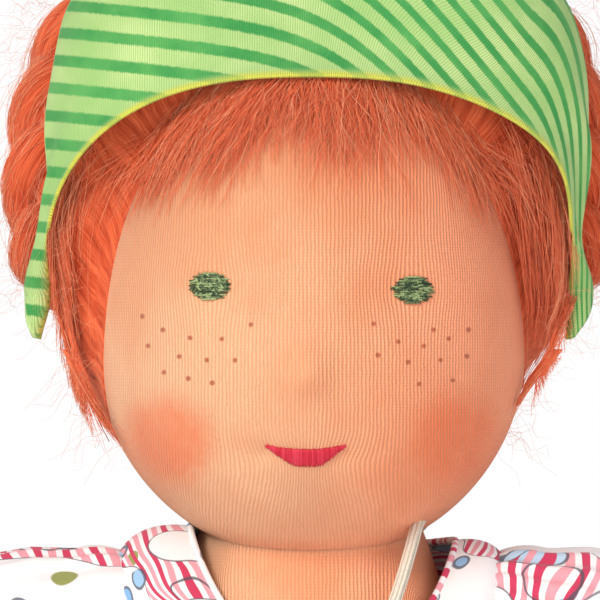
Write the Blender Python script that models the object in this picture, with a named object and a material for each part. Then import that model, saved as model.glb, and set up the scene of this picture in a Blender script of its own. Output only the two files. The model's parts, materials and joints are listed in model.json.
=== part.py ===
"""A soft doll of the Waldorf kind, standing in its clothes, at its real size.

The doll faces -Y and stands on z = 0. Its own left is at +X, the viewer's right. Lengths are metres.
Each sewn, wound or stuffed piece is an object of its own. Arms turn at the shoulders, legs at the hips,
and the kerchief lifts off.
"""
import math
from collections import namedtuple

import bmesh
import bpy
from mathutils import Vector

MM = 0.001

# Gaps and cloths
SEAT_GAP = 0.3 * MM
JOINT_GAP = 0.6 * MM
SKIN_CLOTH = 0.8 * MM
COTTON = 0.7 * MM
KNIT = 0.8 * MM
FELT = 1.6 * MM
CUT_OVERRUN = 6 * MM

# Levels above the floor
CHIN_Z = 260 * MM
SHOULDER_Z = 246 * MM
HIP_Z = 150 * MM
WAIST_Z = 200 * MM

# Head and neck
FACE_HALF_WIDTH = 46 * MM
HEAD_HALF_DEPTH = 45 * MM
CHIN_SETBACK = 2 * MM
CHEEK_RISE = 43.4 * MM
HEAD_HEIGHT = 119 * MM
EYE_LINE_DIP = 1.4 * MM
EYE_LINE_SPREAD = 9 * MM
NECK_TILT = math.radians(12)
NECK_HALF_ANGLE = math.radians(31)
NECK_HALF_WIDTH = 26 * MM
NECK_HALF_DEPTH = 20.5 * MM
NECK_TIE_THICKNESS = 1.2 * MM

# Face
EYE_WIDTH = 9 * MM
EYE_HEIGHT = 6.4 * MM
EYE_SPACING = 43.6 * MM
EYE_RISE = 56.9 * MM
MOUTH_WIDTH = 17.2 * MM
MOUTH_HEIGHT = 3.8 * MM
MOUTH_RISE = 21 * MM
NOSE_RISE = 37.5 * MM
NOSE_RADIUS = 3.2 * MM
STITCH_THICKNESS = 0.7 * MM
STITCH_LIFT = 0.7 * MM

# Hair
HAIR_SIDE = 6 * MM
HAIR_TOP = 13 * MM
HAIR_GATHER = 12 * MM
HAIR_RIM = 2.2 * MM
HAIR_LIFT = 1.0 * MM
HAIRLINE_DROP = 19 * MM
HAIRLINE_RISE = HEAD_HEIGHT - HAIRLINE_DROP
NAPE_ANGLE = math.radians(50)
FRINGE_THICKNESS = 1.7 * MM
FRINGE_HALF_WIDTH = 36 * MM
FRINGE_LENGTH = 24 * MM
FRINGE_RISE = HAIRLINE_RISE - FRINGE_LENGTH
FRINGE_NOTCH = 8 * MM
FRINGE_ARCH_SHARE = 0.9
FRINGE_TAPER_SHARE = 0.5
BRAID_RADIUS = 8.2 * MM
BRAID_LOBE = 16 * MM
BRAID_LOBE_SHARE = 0.13
TIE_RADIUS = 1.3 * MM

# Kerchief
KERCHIEF_LEG = 147 * MM
KERCHIEF_HALF_WIDTH = 58 * MM
KERCHIEF_TAIL_RISE = 55 * MM
KERCHIEF_SETBACK = -5 * MM
KERCHIEF_FRONT_REACH = 55 * MM
KERCHIEF_BACK_REACH = 59 * MM
KERCHIEF_FRONT_ANGLE = math.radians(-32)
KERCHIEF_FRONT_SQUARENESS = 2.5
KERCHIEF_TOP_SQUARENESS = 4.2
KERCHIEF_TIP_SHARE = 0.97
KERCHIEF_EASE = 1.5 * MM

# Torso: share of the way from hip level to shoulder level, then half width and half depth as shares
TORSO_HALF_WIDTH = 40 * MM
TORSO_HALF_DEPTH = 28 * MM
TORSO_TOP_RISE = 0.5 * MM
CROTCH_RISE = 6 * MM
TORSO_SHARES = (
    (0.00, 0.80, 0.80),
    (0.09, 0.95, 0.95),
    (0.25, 1.00, 1.00),
    (0.45, 0.95, 0.96),
    (0.66, 0.90, 0.88),
    (0.85, 0.90, 0.80),
    (0.96, 0.84, 0.76),
    (1.00, 0.72, 0.74),
)

# Arms
SHOULDER_HALF_SPACING = 45 * MM
ARM_LENGTH = 112 * MM
ARM_RADIUS = 12.6 * MM
ARM_DROOP = math.radians(22)
ARM_LOWEST = math.radians(20)
ARM_HIGHEST = math.radians(55)
THUMB_LENGTH = 13 * MM
THUMB_RADIUS = 4.2 * MM
THUMB_TURN = math.radians(38)
# Place of the thumb: across as a share of the arm's radius, and along as a share of its length
THUMB_SHARES = (0.9, 0.80)
# Share of the arm's length, then width and thickness as shares of the arm's radius
ARM_SHARES = (
    (0.00, 1.00, 1.00),
    (0.22, 0.96, 0.96),
    (0.45, 0.88, 0.88),
    (0.62, 0.80, 0.80),
    (0.72, 0.74, 0.72),
    (0.80, 0.86, 0.70),
    (0.88, 0.96, 0.66),
    (0.95, 0.80, 0.54),
    (0.99, 0.40, 0.30),
)

# Legs
HIP_HALF_SPACING = 24 * MM
LEG_RADIUS = 20.6 * MM
ANKLE_Z = 34 * MM
FOOT_LENGTH = 50 * MM
FOOT_HALF_WIDTH = 13 * MM
FOOT_HALF_HEIGHT = 10.5 * MM
LEG_FORWARD = math.radians(90)
LEG_BACK = math.radians(15)
# Share of the way down from hip to ankle, then half width and half depth as shares of the leg's radius
LEG_SHARES = (
    (0.00, 1.00, 1.00),
    (0.20, 0.94, 0.97),
    (0.40, 0.84, 0.88),
    (0.58, 0.74, 0.80),
    (0.74, 0.68, 0.74),
    (0.88, 0.62, 0.66),
    (1.00, 0.60, 0.66),
)

# Clothes
BLOUSE_EASE = 5.0 * MM
BLOUSE_TOP_Z = 263 * MM
BLOUSE_HEM_Z = 179 * MM
BLOUSE_HEM_FLARE = 5 * MM
YOKE_DROP = 8 * MM
TOP_BUTTON_DROP = 10 * MM
NECKLINE_HALF_WIDTH = 30.5 * MM
NECKLINE_DROP = 27 * MM
NECKLINE_BACK_EASE = 8 * MM
NECKLINE_CORNER_SHARE = 0.55
SLEEVE_EASE = 1.0 * MM
SLEEVE_LENGTH = 56 * MM
SLEEVE_FLARE = 5.5 * MM
CUFF_WIDTH = 5 * MM
BUTTON_RADIUS = 4 * MM
BUTTON_THICKNESS = 2 * MM
BUTTON_PITCH = 17 * MM
BACK_BUTTONS = 3
TROUSER_EASE = 0.9 * MM
TROUSER_HEM_Z = 62 * MM
TROUSER_FLARE = 4 * MM
ELASTIC_WIDTH = 7 * MM
ELASTIC_THICKNESS = 1.4 * MM
SOCK_TOP_Z = 78 * MM
SOLE_THICKNESS = 4 * MM
SHOE_OPENING_DEPTH = 8 * MM
# Half length and forward place as shares of the foot's length, rise over the ankle as a share of the depth
SHOE_OPENING_SHARES = (0.22, 0.18, 0.2)
SOLE_HEEL_SHARE = 0.08
SOLE_SQUARENESS = 0.8
SOLE_BEVEL_SHARE = 0.2
STRAP_WIDTH = 6 * MM
STRAP_LIFT = 1.7 * MM
STRAP_START = math.radians(175)
STRAP_END = math.radians(365)
CORD_RADIUS = 1.4 * MM
CORD_DROP = 30 * MM

SHARP_ANGLE = math.radians(50)
HEAD_SIDES = 28
BODY_SIDES = 22
LIMB_SIDES = 12

Section = namedtuple("Section", "centre half_width half_depth pitch")


def clear_scene():
    for old in list(bpy.data.objects):
        bpy.data.objects.remove(old, do_unlink=True)


def material(name, colour, roughness=0.9):
    """Return the named plain material, made once."""
    found = bpy.data.materials.get(name)
    if found:
        return found
    made = bpy.data.materials.new(name)
    made.use_nodes = True
    shader = made.node_tree.nodes["Principled BSDF"]
    shader.inputs["Base Color"].default_value = (*colour, 1.0)
    shader.inputs["Roughness"].default_value = roughness
    return made


def skin():
    return material("skin_jersey", (0.93, 0.60, 0.39))


def wool():
    return material("wool_stuffing", (0.86, 0.82, 0.72))


def mohair():
    return material("mohair", (0.80, 0.16, 0.06))


def striped_jersey():
    return material("kerchief_jersey", (0.55, 0.75, 0.26))


def print_cotton():
    return material("print_cotton", (0.85, 0.85, 0.88))


def trouser_cotton():
    return material("trouser_cotton", (0.10, 0.17, 0.32))


def sock_knit():
    return material("sock_knit", (0.45, 0.66, 0.24))


def red_felt():
    return material("red_felt", (0.56, 0.05, 0.06))


def horn_button():
    return material("wood_button", (0.50, 0.30, 0.15), 0.5)


def cord_cotton():
    return material("cord_cotton", (0.86, 0.80, 0.68))


def finish_object(name, mesh, look, location=(0, 0, 0), rotation=(0, 0, 0), parent=None):
    """Wrap a mesh in an object with its look, place and smooth shading."""
    mesh.materials.append(look)
    mesh.shade_smooth()
    mesh.set_sharp_from_angle(angle=SHARP_ANGLE)
    made = bpy.data.objects.new(name, mesh)
    bpy.context.scene.collection.objects.link(made)
    made.location = location
    made.rotation_euler = rotation
    made.parent = parent
    return made


def mesh_from_bmesh(name, work):
    bmesh.ops.recalc_face_normals(work, faces=work.faces)
    mesh = bpy.data.meshes.new(name)
    work.to_mesh(mesh)
    work.free()
    return mesh


def loops_mesh(name, loops, cyclic=False):
    """Skin a row of rings of points; a single Vector among them is a pole."""
    work = bmesh.new()
    rows = []
    for loop in loops:
        points = [loop] if isinstance(loop, Vector) else loop
        rows.append([work.verts.new(point) for point in points])
    pairs = list(zip(rows, rows[1:]))
    if cyclic:
        pairs.append((rows[-1], rows[0]))
    for near, far in pairs:
        count = max(len(near), len(far))
        for step in range(count):
            corners = (
                near[step % len(near)],
                near[(step + 1) % len(near)],
                far[(step + 1) % len(far)],
                far[step % len(far)],
            )
            work.faces.new(list(dict.fromkeys(corners)))
    return mesh_from_bmesh(name, work)


def sheet_mesh(name, outer, inner):
    """Close two grids of points of the same size into one thin solid."""
    work = bmesh.new()
    tops = [[work.verts.new(point) for point in row] for row in outer]
    lows = [[work.verts.new(point) for point in row] for row in inner]
    rows, columns = len(tops), len(tops[0])
    for row in range(rows - 1):
        for column in range(columns - 1):
            for grid in (tops, lows):
                work.faces.new((
                    grid[row][column],
                    grid[row][column + 1],
                    grid[row + 1][column + 1],
                    grid[row + 1][column],
                ))
    border = [(0, column) for column in range(columns)]
    border += [(row, columns - 1) for row in range(1, rows)]
    border += [(rows - 1, column) for column in range(columns - 2, -1, -1)]
    border += [(row, 0) for row in range(rows - 2, 0, -1)]
    for (row, column), (next_row, next_column) in zip(border, border[1:] + border[:1]):
        work.faces.new((
            tops[row][column],
            tops[next_row][next_column],
            lows[next_row][next_column],
            lows[row][column],
        ))
    return mesh_from_bmesh(name, work)


def ring(section, sides, grow=0.0):
    """Points of one elliptical section, its depth axis pitched about X."""
    points = []
    for step in range(sides):
        turn = 2 * math.pi * step / sides
        across = math.cos(turn) * (section.half_width + grow)
        deep = math.sin(turn) * (section.half_depth + grow)
        lean = Vector((across, deep * math.cos(section.pitch), -deep * math.sin(section.pitch)))
        points.append(section.centre + lean)
    return points


def rings(sections, sides, grow=0.0):
    return [ring(section, sides, grow) for section in sections]


def cutter(name, mesh, location=(0, 0, 0), rotation=(0, 0, 0), parent=None):
    """An object that only cuts: hidden from renders and drawn as wire."""
    made = bpy.data.objects.new(name, mesh)
    bpy.context.scene.collection.objects.link(made)
    made.location = location
    made.rotation_euler = rotation
    made.parent = parent
    made.hide_render = True
    made.display_type = "WIRE"
    return made


def combine(target, tool, operation, solver="EXACT"):
    cut = target.modifiers.new(f"{operation.lower()}_{tool.name}", "BOOLEAN")
    cut.operation = operation
    cut.object = tool
    cut.solver = solver
    return cut


def ball_mesh(name, radius, sides=LIMB_SIDES, stretch=(1, 1, 1)):
    work = bmesh.new()
    bmesh.ops.create_uvsphere(work, u_segments=sides, v_segments=sides // 2, radius=radius)
    bmesh.ops.scale(work, vec=stretch, verts=work.verts)
    return mesh_from_bmesh(name, work)


def interpolate(table, share):
    """Read a table of rows led by a share, smoothly between its rows."""
    share = min(max(share, table[0][0]), table[-1][0])
    for low, high in zip(table, table[1:]):
        if share <= high[0]:
            part = (share - low[0]) / (high[0] - low[0])
            return [a + (b - a) * part for a, b in zip(low[1:], high[1:])]
    return list(table[-1][1:])


def dome_angles(count, low, high):
    return [low + (high - low) * step / (count - 1) for step in range(count)]


# Head
HEAD_CENTRE = Vector((0, 0, CHIN_Z + CHEEK_RISE))
LOWER_HEIGHT = CHEEK_RISE + CHIN_SETBACK
UPPER_HEIGHT = HEAD_HEIGHT - CHEEK_RISE


def head_point(direction, grow=0.0):
    """The point of the head's surface that a unit direction from its centre names."""
    height = UPPER_HEIGHT if direction.z > 0 else LOWER_HEIGHT
    point = Vector((
        direction.x * (FACE_HALF_WIDTH + grow),
        direction.y * (HEAD_HALF_DEPTH + grow),
        direction.z * (height + grow),
    ))
    if direction.y < 0:
        above = (point.z + HEAD_CENTRE.z - CHIN_Z - EYE_RISE) / EYE_LINE_SPREAD
        point.y += EYE_LINE_DIP * direction.y * direction.y * math.exp(-above * above)
    return HEAD_CENTRE + point


def tilted_direction(polar, around, tilt):
    """A unit direction at a polar angle from an axis that points down, tilted towards +Y."""
    flat = Vector((
        math.sin(polar) * math.cos(around),
        math.sin(polar) * math.sin(around),
        -math.cos(polar),
    ))
    return Vector((
        flat.x,
        flat.y * math.cos(tilt) - flat.z * math.sin(tilt),
        flat.y * math.sin(tilt) + flat.z * math.cos(tilt),
    ))


def head_ring(polar, tilt, sides, grow):
    return [
        head_point(tilted_direction(polar, 2 * math.pi * step / sides, tilt), grow)
        for step in range(sides)
    ]


def neck_base_ring(sides, grow):
    base = Section(
        Vector((0, 0, SHOULDER_Z + TORSO_TOP_RISE + SEAT_GAP)), NECK_HALF_WIDTH, NECK_HALF_DEPTH, 0
    )
    return ring(base, sides, grow)


def head_loops(sides, rows, grow):
    """Rings from the neck's base over the head, ending in the pole at the crown."""
    throat = head_ring(NECK_HALF_ANGLE, NECK_TILT, sides, grow)
    base = neck_base_ring(sides, grow)
    middle = [low.lerp(high, 0.5) for low, high in zip(base, throat)]
    loops = [base, middle]
    for polar in dome_angles(rows, NECK_HALF_ANGLE, math.pi)[:-1]:
        loops.append(head_ring(polar, NECK_TILT, sides, grow))
    loops.append(head_point(tilted_direction(math.pi, 0, NECK_TILT), grow))
    return loops


def face_point(across, rise, lift):
    """A point in front of the face, given its place across and its rise above the chin."""
    height = rise - CHEEK_RISE
    vertical = height / (UPPER_HEIGHT if height > 0 else LOWER_HEIGHT)
    side = across / FACE_HALF_WIDTH
    depth = math.sqrt(max(0.0, 1 - vertical * vertical - side * side))
    surface = head_point(Vector((side, -depth, vertical)), 0)
    outward = Vector((
        side / FACE_HALF_WIDTH,
        -depth / HEAD_HALF_DEPTH,
        vertical / (UPPER_HEIGHT if height > 0 else LOWER_HEIGHT),
    )).normalized()
    return surface + outward * lift


def build_head():
    outer = head_loops(HEAD_SIDES, 13, 0)
    inner = head_loops(HEAD_SIDES, 13, -SKIN_CLOTH)
    finish_object("head_skin", loops_mesh("head_skin", outer[::-1] + inner), skin())

    core_grow = -SKIN_CLOTH - SEAT_GAP - NECK_TIE_THICKNESS
    loops = head_loops(HEAD_SIDES, 13, core_grow)[1:]
    bottom = sum(loops[0], Vector()) / len(loops[0])
    core = finish_object("head_core", loops_mesh("head_core", [bottom] + loops), wool())

    nose = face_point(0, NOSE_RISE, -SKIN_CLOTH - SEAT_GAP - NOSE_RADIUS)
    pocket_mesh = ball_mesh("nose_pocket", NOSE_RADIUS + SEAT_GAP)
    combine(core, cutter("nose_pocket", pocket_mesh, nose), "DIFFERENCE")
    finish_object("nose_bead", ball_mesh("nose_bead", NOSE_RADIUS - SEAT_GAP), wool(), nose)

    tie_rings = []
    for grow in (core_grow + SEAT_GAP, core_grow + NECK_TIE_THICKNESS):
        throat = head_ring(NECK_HALF_ANGLE, NECK_TILT, HEAD_SIDES, grow)
        base = neck_base_ring(HEAD_SIDES, grow)
        low_share = 0.10
        high_share = 0.40
        low = [a.lerp(b, low_share) for a, b in zip(base, throat)]
        high = [a.lerp(b, high_share) for a, b in zip(base, throat)]
        tie_rings += [low, high] if not tie_rings else [high, low]
    finish_object("neck_tie", loops_mesh("neck_tie", tie_rings, cyclic=True), cord_cotton())


def stitched_patch(name, outline, look):
    """A raised patch of stitches on the face from an outline of (across, rise) places."""
    middle = (
        sum(across for across, _ in outline) / len(outline),
        sum(rise for _, rise in outline) / len(outline),
    )
    low = [face_point(across, rise, STITCH_LIFT) for across, rise in outline]
    high = [face_point(across, rise, STITCH_LIFT + STITCH_THICKNESS) for across, rise in outline]
    loops = [
        face_point(*middle, STITCH_LIFT),
        low,
        high,
        face_point(*middle, STITCH_LIFT + STITCH_THICKNESS),
    ]
    return finish_object(name, loops_mesh(name, loops), look)


def build_face():
    green = material("eye_thread", (0.12, 0.22, 0.10))
    red = material("mouth_thread", (0.65, 0.06, 0.12))
    for side, label in ((1, "left"), (-1, "right")):
        outline = []
        for step in range(LIMB_SIDES):
            turn = 2 * math.pi * step / LIMB_SIDES
            outline.append((
                side * EYE_SPACING / 2 + math.cos(turn) * EYE_WIDTH / 2,
                EYE_RISE + math.sin(turn) * EYE_HEIGHT / 2,
            ))
        stitched_patch(f"eye_{label}", outline, green)
    outline = []
    steps = LIMB_SIDES
    for step in range(steps):
        turn = 2 * math.pi * step / steps
        across = math.cos(turn) * MOUTH_WIDTH / 2
        deep = math.sin(turn) * MOUTH_HEIGHT
        fullness_share = 0.12
        outline.append((across, MOUTH_RISE + (deep * fullness_share if deep > 0 else deep)))
    stitched_patch("mouth", outline, red)


# Hair
def hair_tilt_and_rim():
    """The hair cap's axis and half angle, from the hairline's height and the nape."""
    front = math.asin((HAIRLINE_RISE - CHEEK_RISE) / UPPER_HEIGHT)
    opening = front + math.pi / 2 + NAPE_ANGLE
    return opening / 2 - front - math.pi / 2, opening / 2


def hair_grow(direction):
    """Hair is thickest where it is drawn up to the braids and lies flat towards the forehead."""
    upward = max(0.0, direction.z)
    forward_share = max(0.0, -direction.y) * upward
    crown_share = upward ** 2 * max(0.0, 1 - 2 * forward_share)
    beside_share = (2 * direction.x * upward) ** 2 * max(0.0, 1 - 2 * max(0.0, direction.y))
    thick = HAIR_SIDE + (HAIR_TOP - HAIR_SIDE) * crown_share + HAIR_GATHER * beside_share
    return thick * (1 - forward_share)


def build_hair():
    tilt, rim = hair_tilt_and_rim()
    angles = dome_angles(9, rim, math.pi)
    outer, inner = [], []
    for index, polar in enumerate(angles[:-1]):
        outer_ring, inner_ring = [], []
        for step in range(HEAD_SIDES):
            direction = tilted_direction(polar, 2 * math.pi * step / HEAD_SIDES, tilt)
            thick = HAIR_RIM if index == 0 else hair_grow(direction)
            outer_ring.append(head_point(direction, thick))
            inner_ring.append(head_point(direction, HAIR_LIFT))
        outer.append(outer_ring)
        inner.append(inner_ring)
    pole = tilted_direction(math.pi, 0, tilt)
    loops = [head_point(pole, hair_grow(pole))] + outer[::-1] + inner + [head_point(pole, HAIR_LIFT)]
    finish_object("hair_cap", loops_mesh("hair_cap", loops), mohair())
    build_fringe()
    for side, label in ((1, "left"), (-1, "right")):
        build_braid(side, label)


def build_fringe():
    """Locks that fall over the forehead from under the kerchief's edge."""
    locks = 9
    columns = 2 * locks + 1
    rows = 4
    outer, inner = [], []
    top = HAIRLINE_RISE - 3 * SEAT_GAP - HAIR_RIM
    for row in range(rows + 1):
        down = row / rows
        high_row, low_row = [], []
        for column in range(columns):
            side = 2 * column / (columns - 1) - 1
            arch = top - (top - FRINGE_RISE) * side * side * FRINGE_ARCH_SHARE
            notch = FRINGE_NOTCH if column % 2 == 0 else 0
            tip = FRINGE_RISE + notch - (FRINGE_NOTCH * side * side)
            rise = arch + (tip - arch) * down
            across = FRINGE_HALF_WIDTH * side
            lift = HAIR_LIFT + FRINGE_THICKNESS * (1 - FRINGE_TAPER_SHARE * down)
            high_row.append(face_point(across, rise, lift))
            low_row.append(face_point(across, rise, HAIR_LIFT))
        outer.append(high_row)
        inner.append(low_row)
    finish_object("hair_fringe", sheet_mesh("hair_fringe", outer, inner), mohair())


# Route of a looped braid beside the head: shares of the head's half width, half depth and height
BRAID_ROUTE_SHARES = (
    (0.98, 0.40, 1.00),
    (1.14, 0.44, 0.88),
    (1.23, 0.42, 0.77),
    (1.25, 0.42, 0.66),
    (1.225, 0.46, 0.54),
    (1.13, 0.70, 0.50),
    (1.07, 0.92, 0.60),
    (0.98, 1.02, 0.74),
)


def smooth_route(points, steps):
    """Points along a smooth curve through the given ones."""
    route = []
    for index in range(len(points) - 1):
        before = points[max(index - 1, 0)]
        start, end = points[index], points[index + 1]
        after = points[min(index + 2, len(points) - 1)]
        for step in range(steps):
            t = step / steps
            route.append(0.5 * (
                2 * start
                + (end - before) * t
                + (2 * before - 5 * start + 4 * end - after) * t * t
                + (3 * start - before - 3 * end + after) * t * t * t
            ))
    route.append(points[-1])
    return route


def tube_object(name, route, radius, look, radii=None, bevel_resolution=2, cyclic=False):
    """A curve object with a round bevel along a route of points."""
    curve = bpy.data.curves.new(name, "CURVE")
    curve.dimensions = "3D"
    curve.bevel_depth = radius
    curve.bevel_resolution = bevel_resolution
    curve.use_fill_caps = not cyclic
    spline = curve.splines.new("POLY")
    spline.points.add(len(route) - 1)
    spline.use_cyclic_u = cyclic
    for index, point in enumerate(route):
        spline.points[index].co = (*point, 1)
        spline.points[index].radius = radii[index] if radii else 1
    curve.materials.append(look)
    made = bpy.data.objects.new(name, curve)
    bpy.context.scene.collection.objects.link(made)
    return made


def build_braid(side, label):
    points = []
    for across, deep, high in BRAID_ROUTE_SHARES:
        points.append(Vector((
            side * across * FACE_HALF_WIDTH,
            deep * HEAD_HALF_DEPTH,
            CHIN_Z + high * HEAD_HEIGHT,
        )))
    route = smooth_route(points, 5)
    radii = []
    travelled = 0.0
    for index, point in enumerate(route):
        if index:
            travelled += (point - route[index - 1]).length
        radii.append(1 + BRAID_LOBE_SHARE * math.cos(2 * math.pi * travelled / BRAID_LOBE))
    tube_object(f"braid_{label}", route, BRAID_RADIUS, mohair(), radii)
    end, before = route[-1], route[-2]
    along = (end - before).normalized()
    tie_centre = end + along * (TIE_RADIUS + SEAT_GAP)
    tie_ring = []
    across_axis = along.orthogonal().normalized()
    up_axis = along.cross(across_axis)
    tie_reach = BRAID_RADIUS / 2
    for step in range(LIMB_SIDES):
        turn = 2 * math.pi * step / LIMB_SIDES
        tie_ring.append(
            tie_centre + (across_axis * math.cos(turn) + up_axis * math.sin(turn)) * tie_reach
        )
    tube_object(f"hair_tie_{label}", tie_ring, TIE_RADIUS, striped_jersey(), cyclic=True)


# Kerchief
def walk(points, distance):
    """The point a given distance along a row of points, carried on past its end."""
    for start, end in zip(points, points[1:]):
        step = (end - start).length
        if distance <= step or end is points[-1]:
            return start.lerp(end, distance / step)
        distance -= step
    return points[-1]


def front_share(angle):
    """How near a row of the cloth is to its front edge: 1 there, and 0 from the top of the head back."""
    return math.sin(math.pi / 2 * min(1.0, max(0.0, angle / KERCHIEF_FRONT_ANGLE))) ** 2


def kerchief_reach(angle):
    """How far the cloth lies from the line through its tails, at an angle back from upright."""
    if angle < 0:
        drop = KERCHIEF_FRONT_REACH - KERCHIEF_TOP_REACH
        return KERCHIEF_TOP_REACH + drop * front_share(angle)
    share = math.sin(min(angle, math.pi / 2)) ** 2
    return KERCHIEF_TOP_REACH + (KERCHIEF_BACK_REACH - KERCHIEF_TOP_REACH) * share


def kerchief_fan_point(angle, reach):
    return Vector((
        0,
        KERCHIEF_SETBACK + math.sin(angle) * reach,
        CHIN_Z + KERCHIEF_TAIL_RISE + math.cos(angle) * reach,
    ))


def kerchief_row(angle, steps=24):
    """Half of one row of the cloth from the middle down over the side, then straight down."""
    reach = kerchief_reach(angle)
    rounding = KERCHIEF_FRONT_SQUARENESS - KERCHIEF_TOP_SQUARENESS
    squareness = KERCHIEF_TOP_SQUARENESS + rounding * front_share(angle)
    row = []
    for step in range(steps + 1):
        turn = math.pi / 2 * step / steps
        across = KERCHIEF_HALF_WIDTH * math.sin(turn) ** (2 / squareness)
        out = reach * max(0.0, math.cos(turn)) ** (2 / squareness)
        point = kerchief_fan_point(angle, out)
        point.x = across
        row.append(point)
    row.append(row[-1] - Vector((0, 0, KERCHIEF_LEG)))
    return row


def build_kerchief():
    """A right-angled triangle of jersey: its long edge over the forehead, its point at the back."""
    half_long = KERCHIEF_LEG / math.sqrt(2)
    turns = dome_angles(40, KERCHIEF_FRONT_ANGLE, math.pi)
    middle = [kerchief_fan_point(turn, kerchief_reach(turn)) for turn in turns]
    rows, columns = 13, 21
    outer = []
    for row in range(rows):
        back = half_long * KERCHIEF_TIP_SHARE * row / (rows - 1)
        centre = walk(middle, back) - kerchief_fan_point(0, 0)
        side = kerchief_row(math.atan2(centre.y, centre.z))
        reach = half_long - back
        line = []
        for column in range(columns):
            place = 2 * column / (columns - 1) - 1
            point = walk(side, abs(place) * reach)
            line.append(Vector((math.copysign(point.x, place) if place else 0, point.y, point.z)))
        outer.append(line)
    inner = sheet_offset(outer, KNIT)
    finish_object("kerchief", sheet_mesh("kerchief", outer, inner), striped_jersey())


def sheet_offset(grid, thickness):
    """A copy of a grid of points moved inwards, towards the head, along its own normals."""
    moved = []
    rows, columns = len(grid), len(grid[0])
    for row in range(rows):
        line = []
        for column in range(columns):
            along = grid[row][min(column + 1, columns - 1)] - grid[row][max(column - 1, 0)]
            back = grid[min(row + 1, rows - 1)][column] - grid[max(row - 1, 0)][column]
            normal = along.cross(back).normalized()
            inward = HEAD_CENTRE - grid[row][column]
            normal = normal if normal.dot(inward) > 0 else -normal
            line.append(grid[row][column] + normal * thickness)
        moved.append(line)
    return moved


KERCHIEF_TOP_REACH = HEAD_HEIGHT + HAIR_TOP + KNIT + KERCHIEF_EASE - KERCHIEF_TAIL_RISE


# Limbs are built along their own Z axis from the joint, so Z runs out along the limb
def limb_sections(radius, length, shares, start_angle, start_steps=3):
    """Sections from inside the joint's ball, at an angle from its axis, out along the limb."""
    sections = []
    for step in range(start_steps):
        turn = start_angle + (math.pi / 2 - start_angle) * step / start_steps
        size = radius * math.sin(turn)
        sections.append(Section(Vector((0, 0, -radius * math.cos(turn))), size, size, 0))
    for along, width, depth in shares:
        sections.append(Section(Vector((0, 0, along * length)), width * radius, depth * radius, 0))
    return sections


def width_at(sections, place):
    """Half width of a straight limb, a distance out from its joint."""
    table = [(section.centre.z, section.half_width) for section in sections]
    return interpolate(table, place)[0]


ARM_BALL = ARM_RADIUS + SLEEVE_EASE + COTTON
SLEEVE_OPENING_ANGLE = math.radians(50)
STUFFING_START_ANGLE = math.radians(24)


def arm_frame(side):
    """Where an arm starts and how it is turned from pointing up."""
    location = (side * SHOULDER_HALF_SPACING, 0, SHOULDER_Z)
    return location, (0, side * (math.pi / 2 + ARM_DROOP), 0)


def build_arm(side, label):
    location, rotation = arm_frame(side)
    tip = Vector((0, 0, ARM_LENGTH))
    opened = limb_sections(ARM_RADIUS, ARM_LENGTH, ARM_SHARES, SLEEVE_OPENING_ANGLE)
    outer = [opened[0].centre] + rings(opened, LIMB_SIDES) + [tip]
    skin_object = finish_object(
        f"arm_skin_{label}", loops_mesh("arm_skin", outer), skin(), location, rotation
    )
    thumb_place = (-side * ARM_RADIUS * THUMB_SHARES[0], 0, ARM_LENGTH * THUMB_SHARES[1])
    thumb_mesh = ball_mesh("thumb", THUMB_RADIUS, 10, (1, 1, THUMB_LENGTH / (2 * THUMB_RADIUS)))
    thumb_turn = Vector((0, -side * THUMB_TURN, 0))
    holder = bpy.data.objects.new(f"hand_frame_{label}", None)
    bpy.context.scene.collection.objects.link(holder)
    holder.location = location
    holder.rotation_euler = rotation
    thumb = cutter(f"thumb_shape_{label}", thumb_mesh, thumb_place, thumb_turn, holder)
    combine(skin_object, thumb, "UNION")
    hollow_sections = [opened[0]._replace(centre=opened[0].centre - Vector((0, 0, CUT_OVERRUN)))]
    hollow = [hollow_sections[0].centre] + rings(hollow_sections + opened, LIMB_SIDES, -SKIN_CLOTH)
    hollow.append(tip - Vector((0, 0, SKIN_CLOTH)))
    room = cutter(f"arm_hollow_{label}", loops_mesh("arm_hollow", hollow), location, rotation)
    combine(skin_object, room, "DIFFERENCE")

    closed = limb_sections(ARM_RADIUS, ARM_LENGTH, ARM_SHARES, STUFFING_START_ANGLE)
    inset = SKIN_CLOTH + SEAT_GAP
    filling = [Vector((0, 0, -ARM_RADIUS + inset))] + rings(closed, LIMB_SIDES, -inset)
    filling.append(tip - Vector((0, 0, inset)))
    finish_object(
        f"arm_stuffing_{label}", loops_mesh("arm_stuffing", filling), wool(), location, rotation
    )

    sleeve_shares = [(step / 5, 1 + step / 5 * SLEEVE_FLARE / ARM_BALL) for step in range(6)]
    sleeve_shares = [(along, size, size) for along, size in sleeve_shares]
    sleeve = limb_sections(ARM_BALL, SLEEVE_LENGTH, sleeve_shares, SLEEVE_OPENING_ANGLE)
    walls = rings(sleeve, LIMB_SIDES) + rings(sleeve, LIMB_SIDES, -COTTON)[::-1]
    finish_object(
        f"sleeve_{label}", loops_mesh("sleeve", walls, True), print_cotton(), location, rotation
    )
    cuff = []
    for place in (SLEEVE_LENGTH - CUFF_WIDTH, SLEEVE_LENGTH):
        size = width_at(sleeve, place)
        cuff.append(Section(Vector((0, 0, place)), size, size, 0))
    walls = rings(cuff, LIMB_SIDES, SEAT_GAP + COTTON) + rings(cuff, LIMB_SIDES, SEAT_GAP)[::-1]
    finish_object(
        f"cuff_{label}", loops_mesh("cuff", walls, True), trouser_cotton(), location, rotation
    )


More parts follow.
